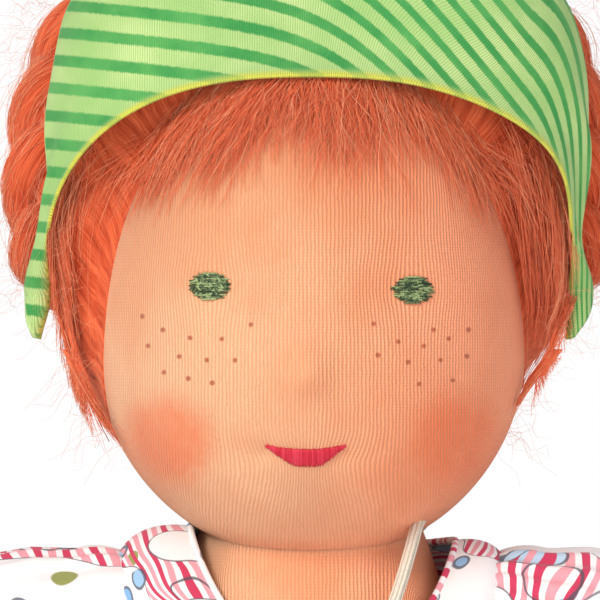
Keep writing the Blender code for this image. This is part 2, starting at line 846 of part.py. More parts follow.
def swing_cutter(name, centre, radius, directions, reach):
    """A ball at a joint with a straight arm along each direction that the limb can take."""
    ball = cutter(name, ball_mesh(name, radius, 20), centre)
    for index, direction in enumerate(directions):
        start, end = Vector((0, 0, -radius / 4)), Vector((0, 0, reach))
        wide = radius + SEAT_GAP
        tube = loops_mesh(f"{name}_{index}", [
            start,
            ring(Section(start, wide, wide, 0), 18),
            ring(Section(end, wide, wide, 0), 18),
            end,
        ])
        turn = Vector((0, 0, 1)).rotation_difference(direction).to_euler()
        combine(ball, cutter(f"{name}_{index}", tube, centre, turn), "UNION")
    return ball


def shoulder_cutter(side, label):
    directions = []
    for droop in (ARM_DROOP + ARM_LOWEST, ARM_DROOP, ARM_DROOP - ARM_HIGHEST):
        directions.append(Vector((side * math.cos(droop), 0, -math.sin(droop))))
    centre = (side * SHOULDER_HALF_SPACING, 0, SHOULDER_Z)
    return swing_cutter(
        f"shoulder_swing_{label}", centre, ARM_BALL + JOINT_GAP, directions, SLEEVE_LENGTH
    )


LEG_BALL = LEG_RADIUS + TROUSER_EASE + COTTON
TROUSER_OPENING_ANGLE = math.radians(45)
LEG_LENGTH = HIP_Z - ANKLE_Z


def hip_cutter(side, label):
    directions = [
        Vector((0, -math.sin(LEG_FORWARD), -math.cos(LEG_FORWARD))),
        Vector((0, math.sin(LEG_BACK), -math.cos(LEG_BACK))),
    ]
    centre = (side * HIP_HALF_SPACING, 0, HIP_Z)
    return swing_cutter(
        f"hip_swing_{label}", centre, LEG_BALL + JOINT_GAP, directions, TORSO_HALF_WIDTH
    )


# Foot, from the ankle to the toes: forward as a share of the foot's length, height as a share of the
# ankle's, pitch as a share of a quarter turn, then half width and half depth as shares of the foot's
FOOT_SHARES = (
    (0.020, 0.706, 0.262, 0.97, 1.38),
    (0.040, 0.574, 0.370, 0.98, 1.53),
    (0.130, 0.522, 0.478, 1.00, 1.46),
    (0.295, 0.478, 0.606, 1.00, 1.15),
    (0.460, 0.456, 0.739, 0.96, 0.91),
    (0.610, 0.400, 0.833, 0.72, 0.64),
)
TOE_SHARES = (0.68, 0.38)
# Middle of the strap on the foot: forward, height, half depth and pitch, as shares like the foot's
STRAP_SHARES = (0.12, 0.53, 1.46, 0.46)


def leg_sections(start_angle):
    """Sections of one leg about the hip's own centre, from the ball down to the toes."""
    sections = []
    for section in limb_sections(LEG_RADIUS, LEG_LENGTH, LEG_SHARES, start_angle):
        sections.append(section._replace(centre=Vector((0, 0, -section.centre.z))))
    for forward, height, pitch, width, depth in FOOT_SHARES:
        centre = Vector((0, -forward * FOOT_LENGTH, height * ANKLE_Z - HIP_Z))
        turned = pitch * math.pi / 2
        sections.append(
            Section(centre, width * FOOT_HALF_WIDTH, depth * FOOT_HALF_HEIGHT, turned)
        )
    return sections


def toe_point(grow):
    return Vector((0, -TOE_SHARES[0] * FOOT_LENGTH - grow, TOE_SHARES[1] * ANKLE_Z - HIP_Z))


def from_level(sections, level):
    """The sections below a height above the floor, led by one at that height."""
    for index, (high, low) in enumerate(zip(sections, sections[1:])):
        if low.centre.z + HIP_Z < level:
            share = (high.centre.z + HIP_Z - level) / (high.centre.z - low.centre.z)
            width = high.half_width + (low.half_width - high.half_width) * share
            depth = high.half_depth + (low.half_depth - high.half_depth) * share
            first = Section(high.centre.lerp(low.centre, share), width, depth, 0)
            return [first] + sections[index + 1:]
    return sections


def footed_shell(name, sections, inner_grow, outer_grow):
    """A stocking over the leg's sections: open at the top, closed at the toes."""
    outer = rings(sections, LIMB_SIDES, outer_grow) + [toe_point(outer_grow)]
    inner = rings(sections, LIMB_SIDES, inner_grow) + [toe_point(inner_grow)]
    return loops_mesh(name, outer[::-1] + inner)


def build_leg(side, label):
    hip = (side * HIP_HALF_SPACING, 0, HIP_Z)
    opened = leg_sections(TROUSER_OPENING_ANGLE)
    skin_mesh = footed_shell("leg_skin", opened, -SKIN_CLOTH, 0)
    finish_object(f"leg_skin_{label}", skin_mesh, skin(), hip)

    inset = SKIN_CLOTH + SEAT_GAP
    filling = [Vector((0, 0, LEG_RADIUS - inset))]
    filling += rings(leg_sections(STUFFING_START_ANGLE), LIMB_SIDES, -inset) + [toe_point(-inset)]
    finish_object(f"leg_stuffing_{label}", loops_mesh("leg_stuffing", filling), wool(), hip)

    sock_outer = SEAT_GAP + KNIT
    sock_mesh = footed_shell("sock", from_level(opened, SOCK_TOP_Z), SEAT_GAP, sock_outer)
    finish_object(f"sock_{label}", sock_mesh, sock_knit(), hip)

    build_trouser_leg(label, hip, opened)
    build_shoe(side, label, hip, from_level(opened, ANKLE_Z + SEAT_GAP), sock_outer)


def build_trouser_leg(label, hip, opened):
    shaft = [section for section in opened if section.centre.z + HIP_Z > TROUSER_HEM_Z]
    shaft.append(from_level(opened, TROUSER_HEM_Z)[0])
    fall = HIP_Z - TROUSER_HEM_Z
    flared = []
    for section in shaft:
        share = max(0.0, -section.centre.z / fall)
        wider = TROUSER_EASE + COTTON + (TROUSER_FLARE + sock_room()) * share * share
        flared.append(section._replace(
            half_width=section.half_width + wider, half_depth=section.half_depth + wider
        ))
    walls = rings(flared, LIMB_SIDES) + rings(flared, LIMB_SIDES, -COTTON)[::-1]
    mesh = loops_mesh("trouser_leg", walls, True)
    finish_object(f"trouser_leg_{label}", mesh, trouser_cotton(), hip)


def sock_room():
    return SEAT_GAP + KNIT


def build_shoe(side, label, hip, sections, sock_outer):
    inner_grow = sock_outer + SEAT_GAP
    outer_grow = inner_grow + FELT
    upper = finish_object(
        f"shoe_upper_{label}", footed_shell("shoe_upper", sections, inner_grow, outer_grow),
        red_felt(), hip,
    )
    length_share, forward_share, rise_share = SHOE_OPENING_SHARES
    opening_size = (FOOT_HALF_WIDTH * 2, FOOT_LENGTH * length_share, SHOE_OPENING_DEPTH)
    opening = cutter(
        f"shoe_opening_{label}",
        ball_mesh("shoe_opening", 1, 24, opening_size),
        (hip[0], -FOOT_LENGTH * forward_share, ANKLE_Z + SHOE_OPENING_DEPTH * rise_share),
    )
    combine(upper, opening, "DIFFERENCE")
    floor_box = bmesh.new()
    bmesh.ops.create_cube(floor_box, size=FOOT_LENGTH * 2)
    level = cutter(
        f"shoe_floor_{label}", mesh_from_bmesh("shoe_floor", floor_box),
        (hip[0], 0, SOLE_THICKNESS + SEAT_GAP - FOOT_LENGTH),
    )
    combine(upper, level, "DIFFERENCE")
    build_sole(label, hip, inner_grow)
    build_strap(side, label, hip, outer_grow)


def sole_outline(grow, steps=20):
    """A shoe's outline from above: a long round whose heel is narrower than its ball."""
    points = []
    back = FOOT_HALF_WIDTH + grow
    front = TOE_SHARES[0] * FOOT_LENGTH + grow
    half_length = (front + back) / 2
    middle = (back - front) / 2
    for step in range(steps):
        turn = 2 * math.pi * step / steps
        forward = math.sin(turn)
        narrow = 1 - SOLE_HEEL_SHARE * (1 + forward) / 2
        across = math.copysign(abs(math.cos(turn)) ** SOLE_SQUARENESS, math.cos(turn))
        width = (FOOT_HALF_WIDTH + grow) * narrow
        points.append(Vector((across * width, middle + forward * half_length, 0)))
    return points


def build_sole(label, hip, grow):
    outline = sole_outline(grow)
    bevel = SOLE_THICKNESS * SOLE_BEVEL_SHARE
    tread = sole_outline(grow - bevel)
    lift = Vector((0, 0, SOLE_THICKNESS))
    edge = Vector((0, 0, bevel))
    middle = sum(outline, Vector()) / len(outline)
    loops = [middle, tread, [point + edge for point in outline]]
    loops += [[point + lift for point in outline], middle + lift]
    finish_object(f"shoe_sole_{label}", loops_mesh("shoe_sole", loops), red_felt(), (hip[0], 0, 0))


def build_strap(side, label, hip, grow):
    """A felt strap over the instep, lying on the shoe's sides, with its button on the outer end."""
    base = Section(
        Vector((0, -FOOT_LENGTH * STRAP_SHARES[0], ANKLE_Z * STRAP_SHARES[1] - HIP_Z)),
        FOOT_HALF_WIDTH,
        FOOT_HALF_HEIGHT * STRAP_SHARES[2],
        math.pi / 2 * STRAP_SHARES[3],
    )
    across_pitch = Vector((0, math.sin(base.pitch), math.cos(base.pitch))) * STRAP_WIDTH / 2
    outer, inner = [], []
    steps = 14
    for step in range(steps + 1):
        turn = STRAP_START + (STRAP_END - STRAP_START) * step / steps
        lines = []
        for lift in (grow + STRAP_LIFT + FELT, grow + STRAP_LIFT):
            point = base.centre + Vector((
                math.cos(turn) * (base.half_width + lift),
                math.sin(turn) * (base.half_depth + lift) * math.cos(base.pitch),
                -math.sin(turn) * (base.half_depth + lift) * math.sin(base.pitch),
            ))
            lines.append([point - across_pitch, point + across_pitch])
        outer.append(lines[0])
        inner.append(lines[1])
    finish_object(f"shoe_strap_{label}", sheet_mesh("shoe_strap", outer, inner), red_felt(), hip)
    button_reach = base.half_width + grow + STRAP_LIFT + SEAT_GAP + FELT
    place = Vector(hip) + base.centre + Vector((side * button_reach, 0, 0))
    turned = (0, side * math.pi / 2, 0)
    build_button(f"shoe_button_{label}", place, turned, STRAP_WIDTH / 2)


def build_button(name, place, rotation, radius):
    """A turned button with a raised rim, its back on its place and its face along its Z."""
    thick = BUTTON_THICKNESS * radius / BUTTON_RADIUS
    profile = ((0.0, 0.0), (1.0, 0.0), (1.0, 0.7), (0.86, 1.0), (0.68, 0.72))
    loops = [Vector()]
    for out, high in profile[1:]:
        loops.append(ring(Section(Vector((0, 0, high * thick)), out * radius, out * radius, 0), 12))
    loops.append(Vector((0, 0, profile[-1][1] * thick)))
    return finish_object(name, loops_mesh(name, loops), horn_button(), place, rotation)


# Torso and clothes
TORSO_BOTTOM_Z = HIP_Z + CROTCH_RISE


def torso_section(level, grow=0.0):
    share = (level - HIP_Z) / (SHOULDER_Z - HIP_Z)
    width, depth = interpolate(TORSO_SHARES, share)
    return Section(
        Vector((0, 0, level)), TORSO_HALF_WIDTH * width + grow, TORSO_HALF_DEPTH * depth + grow, 0
    )


def torso_levels(low, high, count):
    return [low + (high - low) * step / (count - 1) for step in range(count)]


def build_torso(cutters):
    inset = SKIN_CLOTH + SEAT_GAP
    levels = torso_levels(TORSO_BOTTOM_Z, SHOULDER_Z, 9)
    outer = rings([torso_section(level) for level in levels], BODY_SIDES)
    outer.insert(0, Vector((0, 0, TORSO_BOTTOM_Z)))
    inner_levels = torso_levels(TORSO_BOTTOM_Z + SKIN_CLOTH, SHOULDER_Z, 9)
    inner = rings([torso_section(level, -SKIN_CLOTH) for level in inner_levels], BODY_SIDES)
    inner.insert(0, Vector((0, 0, TORSO_BOTTOM_Z + SKIN_CLOTH)))
    skin_object = finish_object(
        "torso_skin", loops_mesh("torso_skin", outer + inner[::-1]), skin()
    )
    fill_levels = torso_levels(TORSO_BOTTOM_Z + inset, SHOULDER_Z, 9)
    filling = rings([torso_section(level, -inset) for level in fill_levels], BODY_SIDES)
    filling.insert(0, Vector((0, 0, TORSO_BOTTOM_Z + inset)))
    filling.append(Vector((0, 0, SHOULDER_Z)))
    stuffing = finish_object("torso_stuffing", loops_mesh("torso_stuffing", filling), wool())
    for target in (skin_object, stuffing):
        for tool in cutters:
            combine(target, tool, "DIFFERENCE", "MANIFOLD")


def build_trousers_seat(cutters):
    outer_grow = TROUSER_EASE + COTTON
    low = TORSO_BOTTOM_Z - outer_grow
    levels = torso_levels(low, WAIST_Z, 6)
    outer = rings([torso_section(max(level, HIP_Z), outer_grow) for level in levels], BODY_SIDES)
    outer = [[Vector((p.x, p.y, level)) for p in line] for line, level in zip(outer, levels)]
    inner_levels = torso_levels(low + COTTON, WAIST_Z, 6)
    inner = [
        [Vector((p.x, p.y, level)) for p in ring(torso_section(level, TROUSER_EASE), BODY_SIDES)]
        for level in inner_levels
    ]
    loops = [Vector((0, 0, low))] + outer
    hollow = [Vector((0, 0, low + COTTON))] + inner
    seat = finish_object(
        "trousers_seat", loops_mesh("trousers_seat", loops + hollow[::-1]), trouser_cotton()
    )
    for tool in cutters:
        combine(seat, tool, "DIFFERENCE", "MANIFOLD")
    band = []
    for level in (WAIST_Z - ELASTIC_WIDTH, WAIST_Z):
        band.append(torso_section(level, outer_grow + SEAT_GAP))
    walls = rings(band, BODY_SIDES, ELASTIC_THICKNESS) + rings(band, BODY_SIDES)[::-1]
    finish_object("waist_elastic", loops_mesh("waist_elastic", walls, True), trouser_cotton())


# Blouse above the chest: share of the way from shoulder level to its top, half width as a share of
# the shoulders' half spacing, half depth as a share of the torso's
BLOUSE_TOP_SHARES = (
    (0.00, 0.97, 0.96),
    (0.45, 0.98, 0.72),
    (0.80, 0.95, 0.46),
)


def blouse_sections(grow):
    sections = []
    for level in torso_levels(BLOUSE_HEM_Z, SHOULDER_Z - YOKE_DROP, 6):
        drop = (SHOULDER_Z - level) / (SHOULDER_Z - BLOUSE_HEM_Z)
        sections.append(torso_section(level, BLOUSE_EASE + BLOUSE_HEM_FLARE * drop ** 2 + grow))
    for share, width, depth in BLOUSE_TOP_SHARES:
        sections.append(Section(
            Vector((0, 0, SHOULDER_Z + share * (BLOUSE_TOP_Z - SHOULDER_Z))),
            width * SHOULDER_HALF_SPACING + grow,
            depth * TORSO_HALF_DEPTH + grow,
            0,
        ))
    return sections


def neckline_outline(grow, steps=8):
    """The neck opening seen from the front: straight sides and a round bottom."""
    half = NECKLINE_HALF_WIDTH + grow
    bottom = BLOUSE_TOP_Z - NECKLINE_DROP - grow
    points = [(half, BLOUSE_TOP_Z + CUT_OVERRUN), (half, bottom + half * NECKLINE_CORNER_SHARE)]
    for step in range(1, steps):
        turn = math.pi * step / steps
        points.append((half * math.cos(turn), bottom + half * NECKLINE_CORNER_SHARE * (1 - math.sin(turn))))
    points += [(-half, bottom + half * NECKLINE_CORNER_SHARE), (-half, BLOUSE_TOP_Z + CUT_OVERRUN)]
    return points


def build_blouse(cutters):
    outer = rings(blouse_sections(0), BODY_SIDES) + [Vector((0, 0, BLOUSE_TOP_Z))]
    inner = rings(blouse_sections(-COTTON), BODY_SIDES) + [Vector((0, 0, BLOUSE_TOP_Z - COTTON))]
    blouse = finish_object(
        "blouse", loops_mesh("blouse", outer[::-1] + inner), print_cotton()
    )
    front = [Vector((x, -TORSO_HALF_WIDTH, z)) for x, z in neckline_outline(0)]
    rear = [Vector((point.x, NECK_HALF_DEPTH / 3, point.z)) for point in front]
    middle_front = sum(front, Vector()) / len(front)
    middle_rear = sum(rear, Vector()) / len(rear)
    scoop = cutter("neckline_scoop", loops_mesh("scoop", [middle_front, front, rear, middle_rear]))
    combine(blouse, scoop, "DIFFERENCE")
    hole_low = SHOULDER_Z - TORSO_TOP_RISE
    hole_depth = NECK_HALF_DEPTH + NECKLINE_BACK_EASE
    hole = [
        Section(Vector((0, 0, level)), NECKLINE_HALF_WIDTH, hole_depth, 0)
        for level in (hole_low, BLOUSE_TOP_Z + CUT_OVERRUN)
    ]
    hole_loops = [hole[0].centre] + rings(hole, BODY_SIDES) + [hole[1].centre]
    combine(blouse, cutter("neck_hole", loops_mesh("neck_hole", hole_loops)), "DIFFERENCE")
    for tool in cutters:
        combine(blouse, tool, "DIFFERENCE")
    for index in range(BACK_BUTTONS):
        level = SHOULDER_Z - TOP_BUTTON_DROP - index * BUTTON_PITCH
        drop = (SHOULDER_Z - level) / (SHOULDER_Z - BLOUSE_HEM_Z)
        section = torso_section(level, BLOUSE_EASE + BLOUSE_HEM_FLARE * drop ** 2)
        place = (0, section.half_depth + 2 * SEAT_GAP, level)
        build_button(f"back_button_{index + 1}", place, (-math.pi / 2, 0, 0), BUTTON_RADIUS)


# Route of the neck cord, one loop seen from above and the front: across as a share of the neck's
# half width, front to back as a share of its half depth, rise as a share of the cord's drop
CORD_ROUTE_SHARES = (
    (0.00, 1.20, 0.22),
    (0.55, 1.10, 0.27),
    (0.89, 0.70, 0.37),
    (0.965, 0.14, 0.40),
    (0.915, -0.30, 0.28),
    (0.81, -0.61, 0.12),
    (0.67, -0.86, -0.12),
    (0.49, -1.04, -0.42),
    (0.27, -1.15, -0.70),
    (0.00, -1.195, -0.87),
)


def build_neck_cord():
    right_half = []
    for across, deep, rise in CORD_ROUTE_SHARES:
        right_half.append(Vector((
            across * (NECK_HALF_WIDTH + CORD_RADIUS + SEAT_GAP),
            deep * (NECK_HALF_DEPTH + CORD_RADIUS),
            SHOULDER_Z + rise * CORD_DROP,
        )))
    left_half = [Vector((-p.x, p.y, p.z)) for p in right_half[-2:0:-1]]
    points = right_half + left_half
    count = len(points)
    closed = [points[-1]] + points + points[:2]
    steps = 3
    route = smooth_route(closed, steps)[steps:steps * (count + 1)]
    tube_object("neck_cord", route, CORD_RADIUS, cord_cotton(), bevel_resolution=1, cyclic=True)


def build_doll():
    clear_scene()
    build_head()
    build_face()
    build_hair()
    build_kerchief()
    sides = ((1, "left"), (-1, "right"))
    shoulder_tools = [shoulder_cutter(side, label) for side, label in sides]
    hip_tools = [hip_cutter(side, label) for side, label in sides]
    build_torso(shoulder_tools + hip_tools)
    build_trousers_seat(hip_tools)
    build_blouse(shoulder_tools)
    build_neck_cord()
    for side, label in sides:
        build_arm(side, label)
        build_leg(side, label)
    centre_on_box()


def centre_on_box():
    """Move the doll so that the origin is under the middle of its box, front to back."""
    scene_state = bpy.context.evaluated_depsgraph_get()
    depths = []
    for made in bpy.data.objects:
        if made.type == "EMPTY" or made.hide_render:
            continue
        shaped = made.evaluated_get(scene_state)
        mesh = shaped.to_mesh()
        depths += [(made.matrix_world @ vertex.co).y for vertex in mesh.vertices]
        shaped.to_mesh_clear()
    middle = (min(depths) + max(depths)) / 2
    for made in bpy.data.objects:
        if made.parent is None:
            made.location.y -= middle


build_doll()
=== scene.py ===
"""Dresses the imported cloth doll: knit skin, mohair hair, striped kerchief, blouse, trousers and shoes."""
from __future__ import annotations

import json
import logging
import math
from contextlib import contextmanager
from dataclasses import dataclass
from enum import Enum
from typing import Callable, Iterator, Sequence

import bpy
import numpy as np
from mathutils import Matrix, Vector


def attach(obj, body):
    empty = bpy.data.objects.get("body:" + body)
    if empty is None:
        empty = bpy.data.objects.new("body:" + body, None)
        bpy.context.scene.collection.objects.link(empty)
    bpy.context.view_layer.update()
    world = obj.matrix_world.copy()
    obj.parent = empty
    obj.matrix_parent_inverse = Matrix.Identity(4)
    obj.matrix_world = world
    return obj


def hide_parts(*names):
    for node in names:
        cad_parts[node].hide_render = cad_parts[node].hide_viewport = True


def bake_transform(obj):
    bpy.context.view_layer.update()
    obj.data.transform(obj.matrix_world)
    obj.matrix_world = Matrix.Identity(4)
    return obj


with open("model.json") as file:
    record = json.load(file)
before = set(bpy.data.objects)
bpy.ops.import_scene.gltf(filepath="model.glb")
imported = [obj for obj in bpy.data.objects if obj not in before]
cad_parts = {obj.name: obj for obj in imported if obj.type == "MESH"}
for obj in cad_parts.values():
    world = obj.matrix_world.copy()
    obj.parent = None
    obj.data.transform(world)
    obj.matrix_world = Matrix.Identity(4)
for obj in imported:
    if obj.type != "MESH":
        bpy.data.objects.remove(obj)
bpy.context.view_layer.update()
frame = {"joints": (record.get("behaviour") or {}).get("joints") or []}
LOG = logging.getLogger("doll")

MM = 0.001
TURN = 2 * math.pi
Array = np.ndarray
Pair, Triple = tuple[float, float], tuple[float, float, float]
Surface = Callable[[Array, Array], Array]
Piece, Material = bpy.types.Object, bpy.types.Material
Node, Tree, Socket = bpy.types.Node, bpy.types.NodeTree, bpy.types.NodeSocket
# Distance under which the points of a cloth's closed edge, or of a limb's, join
FINE_MERGE, MERGE = 0.02 * MM, 0.05 * MM
# The doll's own middle plane, front to back: its shoulders, hips and head are centred on it
MIDDLE_Y = frame["joints"][0]["pos_m"][1]


class Side(Enum):
    """The doll's own left is +X."""

    LEFT = 1
    RIGHT = -1

    @property
    def label(self) -> str:
        """The word in the names of this side's pieces."""
        return self.name.lower()


# Mesh helpers
def deselect_all() -> None:
    """Leave nothing selected, so that an operator acts on its own piece only."""
    bpy.ops.object.select_all(action="DESELECT")


def make_active(piece: Piece) -> None:
    """Select one piece and make it the active one."""
    deselect_all()
    piece.select_set(True)
    bpy.context.view_layer.objects.active = piece


@contextmanager
def editing(piece: Piece) -> Iterator[None]:
    """Edit one piece's mesh with operators."""
    make_active(piece)
    bpy.ops.object.mode_set(mode="EDIT")
    yield
    bpy.ops.object.mode_set(mode="OBJECT")


def read(items: bpy.types.bpy_prop_collection, name: str, width: int = 1, kind: type = float) -> Array:
    """One property of all of a mesh's items, a row each where it is wider than one value."""
    values = np.empty(len(items) * width, kind)
    items.foreach_get(name, values)
    return values.reshape(-1, width) if width > 1 else values


def keep_values(piece: Piece, name: str, values: Array) -> None:
    """Keep one value a point as a mesh attribute."""
    piece.data.attributes.new(name, "FLOAT", "POINT").data.foreach_set("value", values.astype(np.float32))


def unit(rows: Array) -> Array:
    """Vectors along the last axis, each made one long."""
    return rows / (np.linalg.norm(rows, axis=-1, keepdims=True) + 1e-12)


def xyz(x: Array | float, y: Array | float, z: Array | float) -> Array:
    """Points from their coordinates, each one value or one for every point."""
    return np.stack(np.broadcast_arrays(x, y, z), axis=-1)


def signed_power(value: Array, power: Array | float) -> Array:
    """A power of a value that keeps its sign, such as rounds or squares a circle."""
    return np.sign(value) * np.abs(value) ** power


def way_along(line: Array) -> Array:
    """Distance travelled at each point of a line."""
    return np.concatenate([[0.0], np.cumsum(np.linalg.norm(np.diff(line, axis=0), axis=1))])


def smooth_ramp(value: Array | float, low: float, high: float) -> Array:
    """A smooth step from 0 at low to 1 at high."""
    share = np.clip((np.asarray(value, float) - low) / (high - low), 0.0, 1.0)
    return share * share * (3.0 - 2.0 * share)


def spline_rows(table: Sequence[Sequence[float]], share: Array) -> Array:
    """Rows of a table read smoothly at shares of 0 to 1 of the way through it."""
    rows = np.asarray(table, float)
    place = np.clip(share, 0.0, 1.0) * (len(rows) - 1)
    low = np.minimum(place.astype(int), len(rows) - 2)
    part = (place - low)[:, None]
    before, start = rows[np.maximum(low - 1, 0)], rows[low]
    end, after = rows[low + 1], rows[np.minimum(low + 2, len(rows) - 1)]
    return 0.5 * (2 * start + (end - before) * part + (2 * before - 5 * start + 4 * end - after) * part ** 2
                  + (3 * start - before - 3 * end + after) * part ** 3)


def finish_piece(piece: Piece, material: Material, body: str,
                 replaced: Sequence[str] = ()) -> None:
    """Give a piece its look, its body and the nodes it stands for.

    Args:
        piece: the finished object, with its place in its mesh.
        material: its material.
        body: the body that it rides on, or "" for none.
        replaced: the nodes that it stands for.
    """
    piece.data.materials.clear()
    piece.data.materials.append(material)
    if body:
        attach(piece, body)
    if replaced:
        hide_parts(*replaced)
    LOG.info("%s: %d faces", piece.name, len(piece.data.polygons))


def mapped_grid(name: str, faces: tuple[int, int], place: Surface,
                flat: Pair | Callable[[Array, Array], tuple[Array, Array]] = (1.0, 1.0),
                merge: float = 0.0, thickness: float = 0.0) -> Piece:
    """Add a grid and lay it on a surface.

    Args:
        name: the new object's name.
        faces: faces along u and along v.
        place: gives points, one row each, for arrays of u and v from 0 to 1.
        flat: the flat cloth's size in metres, or a call that gives the two cloth coordinates.
        merge: distance under which the closed edges' points join, 0 for none.
        thickness: how far the sheet is thickened inward, 0 for not at all.

    Returns:
        The new object, smooth shaded, with a UV map named Cloth.
    """
    deselect_all()
    bpy.ops.mesh.primitive_grid_add(x_subdivisions=faces[0], y_subdivisions=faces[1], size=2)
    piece = bpy.context.object
    mesh = piece.data
    piece.name = mesh.name = name
    u, v = ((read(mesh.vertices, "co", 3)[:, :2] + 1.0) / 2.0).T
    corners = read(mesh.loops, "vertex_index", 1, np.int32)
    across, along = flat(u, v) if callable(flat) else (u * flat[0], v * flat[1])
    layer = mesh.uv_layers[0]
    layer.name = "Cloth"
    layer.data.foreach_set("uv", np.stack([across[corners], along[corners]], axis=1).ravel())
    mesh.vertices.foreach_set("co", place(u, v).ravel())
    mesh.update()
    if merge:
        with editing(piece):
            bpy.ops.mesh.select_all(action="SELECT")
            bpy.ops.mesh.remove_doubles(threshold=merge)
            bpy.ops.mesh.normals_make_consistent(inside=False)
    mesh.shade_smooth()
    if thickness:
        give_thickness(piece, thickness)
    return piece


def give_thickness(piece: Piece, thickness: float, offset: float = -1.0) -> None:
    """Turn a sheet into a thin closed piece.

    Args:
        piece: the sheet.
        thickness: its thickness in metres.
        offset: -1 grows against the faces' normals and 1 along them.
    """
    make_active(piece)
    wall = piece.modifiers.new("Thickness", "SOLIDIFY")
    wall.thickness = thickness
    wall.offset = offset
    wall.use_even_offset = False
    bpy.ops.object.modifier_apply(modifier=wall.name)


def tubes_mesh(name: str, lines: Array, radii: Array, sides: int, shade: Array | None = None) -> Piece:
    """Many thin tapered tubes in one mesh, such as strands of hair or stitches.

    Args:
        name: the new object's name.
        lines: points, shaped (strands, points on each, 3).
        radii: half thickness, shaped (strands, points on each).
        sides: corners of each tube's section.
        shade: one value a strand, kept as the point attribute Shade.

    Returns:
        The new object, with a UV map named Cloth: a strand's own number and its length.
    """
    count, steps, _ = lines.shape
    along = unit(np.gradient(lines, axis=1))
    helper = np.where(np.abs(along[:, 0, 2:3]) < 0.9, [0.0, 0.0, 1.0], [1.0, 0.0, 0.0])
    first = np.empty_like(along)
    carried = np.cross(along[:, 0], helper)
    for step in range(steps):
        carried = unit(carried - along[:, step] * (carried * along[:, step]).sum(axis=1, keepdims=True))
        first[:, step] = carried
    second = np.cross(along, first)
    turns = TURN * np.arange(sides) / sides
    sections = (first[:, :, None, :] * np.cos(turns)[:, None]
                + second[:, :, None, :] * np.sin(turns)[:, None])
    points = lines[:, :, None, :] + sections * radii[:, :, None, None]
    index = np.arange(count * steps * sides).reshape(count, steps, sides)
    near, far = index[:, :-1, :], index[:, 1:, :]
    quads = np.stack([near, np.roll(near, -1, 2), np.roll(far, -1, 2), far], axis=-1).reshape(-1, 4)
    ends = np.concatenate([index[:, 0, ::-1].reshape(-1, sides), index[:, -1, :].reshape(-1, sides)])
    mesh = bpy.data.meshes.new(name)
    mesh.vertices.add(points.size // 3)
    mesh.vertices.foreach_set("co", points.ravel())
    loops = np.concatenate([quads.ravel(), ends.ravel()])
    mesh.loops.add(len(loops))
    mesh.loops.foreach_set("vertex_index", loops.astype(np.int32))
    sizes = np.concatenate([np.full(len(quads), 4), np.full(len(ends), sides)])
    starts = np.concatenate([[0], np.cumsum(sizes)[:-1]])
    mesh.polygons.add(len(sizes))
    mesh.polygons.foreach_set("loop_start", starts.astype(np.int32))
    mesh.update(calc_edges=True)
    mesh.validate()
    strand = np.repeat(np.arange(count), steps * sides) / max(count, 1)
    grown = np.tile(np.repeat(np.linspace(0, 1, steps), sides), count)
    corners = read(mesh.loops, "vertex_index", 1, np.int32)
    layer = mesh.uv_layers.new(name="Cloth")
    layer.data.foreach_set("uv", np.stack([strand[corners], grown[corners]], axis=1).ravel())
    mesh.shade_smooth()
    piece = bpy.data.objects.new(name, mesh)
    if shade is not None:
        keep_values(piece, "Shade", np.repeat(shade, steps * sides))
    bpy.context.scene.collection.objects.link(piece)
    return piece


def tube_grid(name: str, line: Array, radius: float, sides: int, steps: int) -> Piece:
    """One closed loop of tube whose cloth coordinates are in metres.

    Args:
        name: the new object's name.
        line: points once round the loop, without repeating the first.
        radius: half the tube's thickness.
        sides: faces round the tube.
        steps: faces along it.

    Returns:
        The new object, with a UV map named Cloth.
    """
    count = len(line)
    length = float(way_along(np.vstack([line, line[:1]]))[-1])
    along = unit(np.roll(line, -1, axis=0) - np.roll(line, 1, axis=0))
    outward = line - line.mean(axis=0)
    outward = unit(outward - along * (outward * along).sum(axis=1, keepdims=True))
    upward = np.cross(along, outward)

    def place(u: Array, v: Array) -> Array:
        spot = v * count
        low = np.floor(spot).astype(int)
        part = (spot - low)[:, None]
        turn = TURN * u[:, None]
        blended = [rows[low % count] * (1 - part) + rows[(low + 1) % count] * part
                   for rows in (line, outward, upward)]
        return blended[0] + (blended[1] * np.cos(turn) + blended[2] * np.sin(turn)) * radius

    return mapped_grid(name, (sides, steps), place,
                       lambda u, v: (u * TURN * radius, v * length), merge=radius * 0.02)


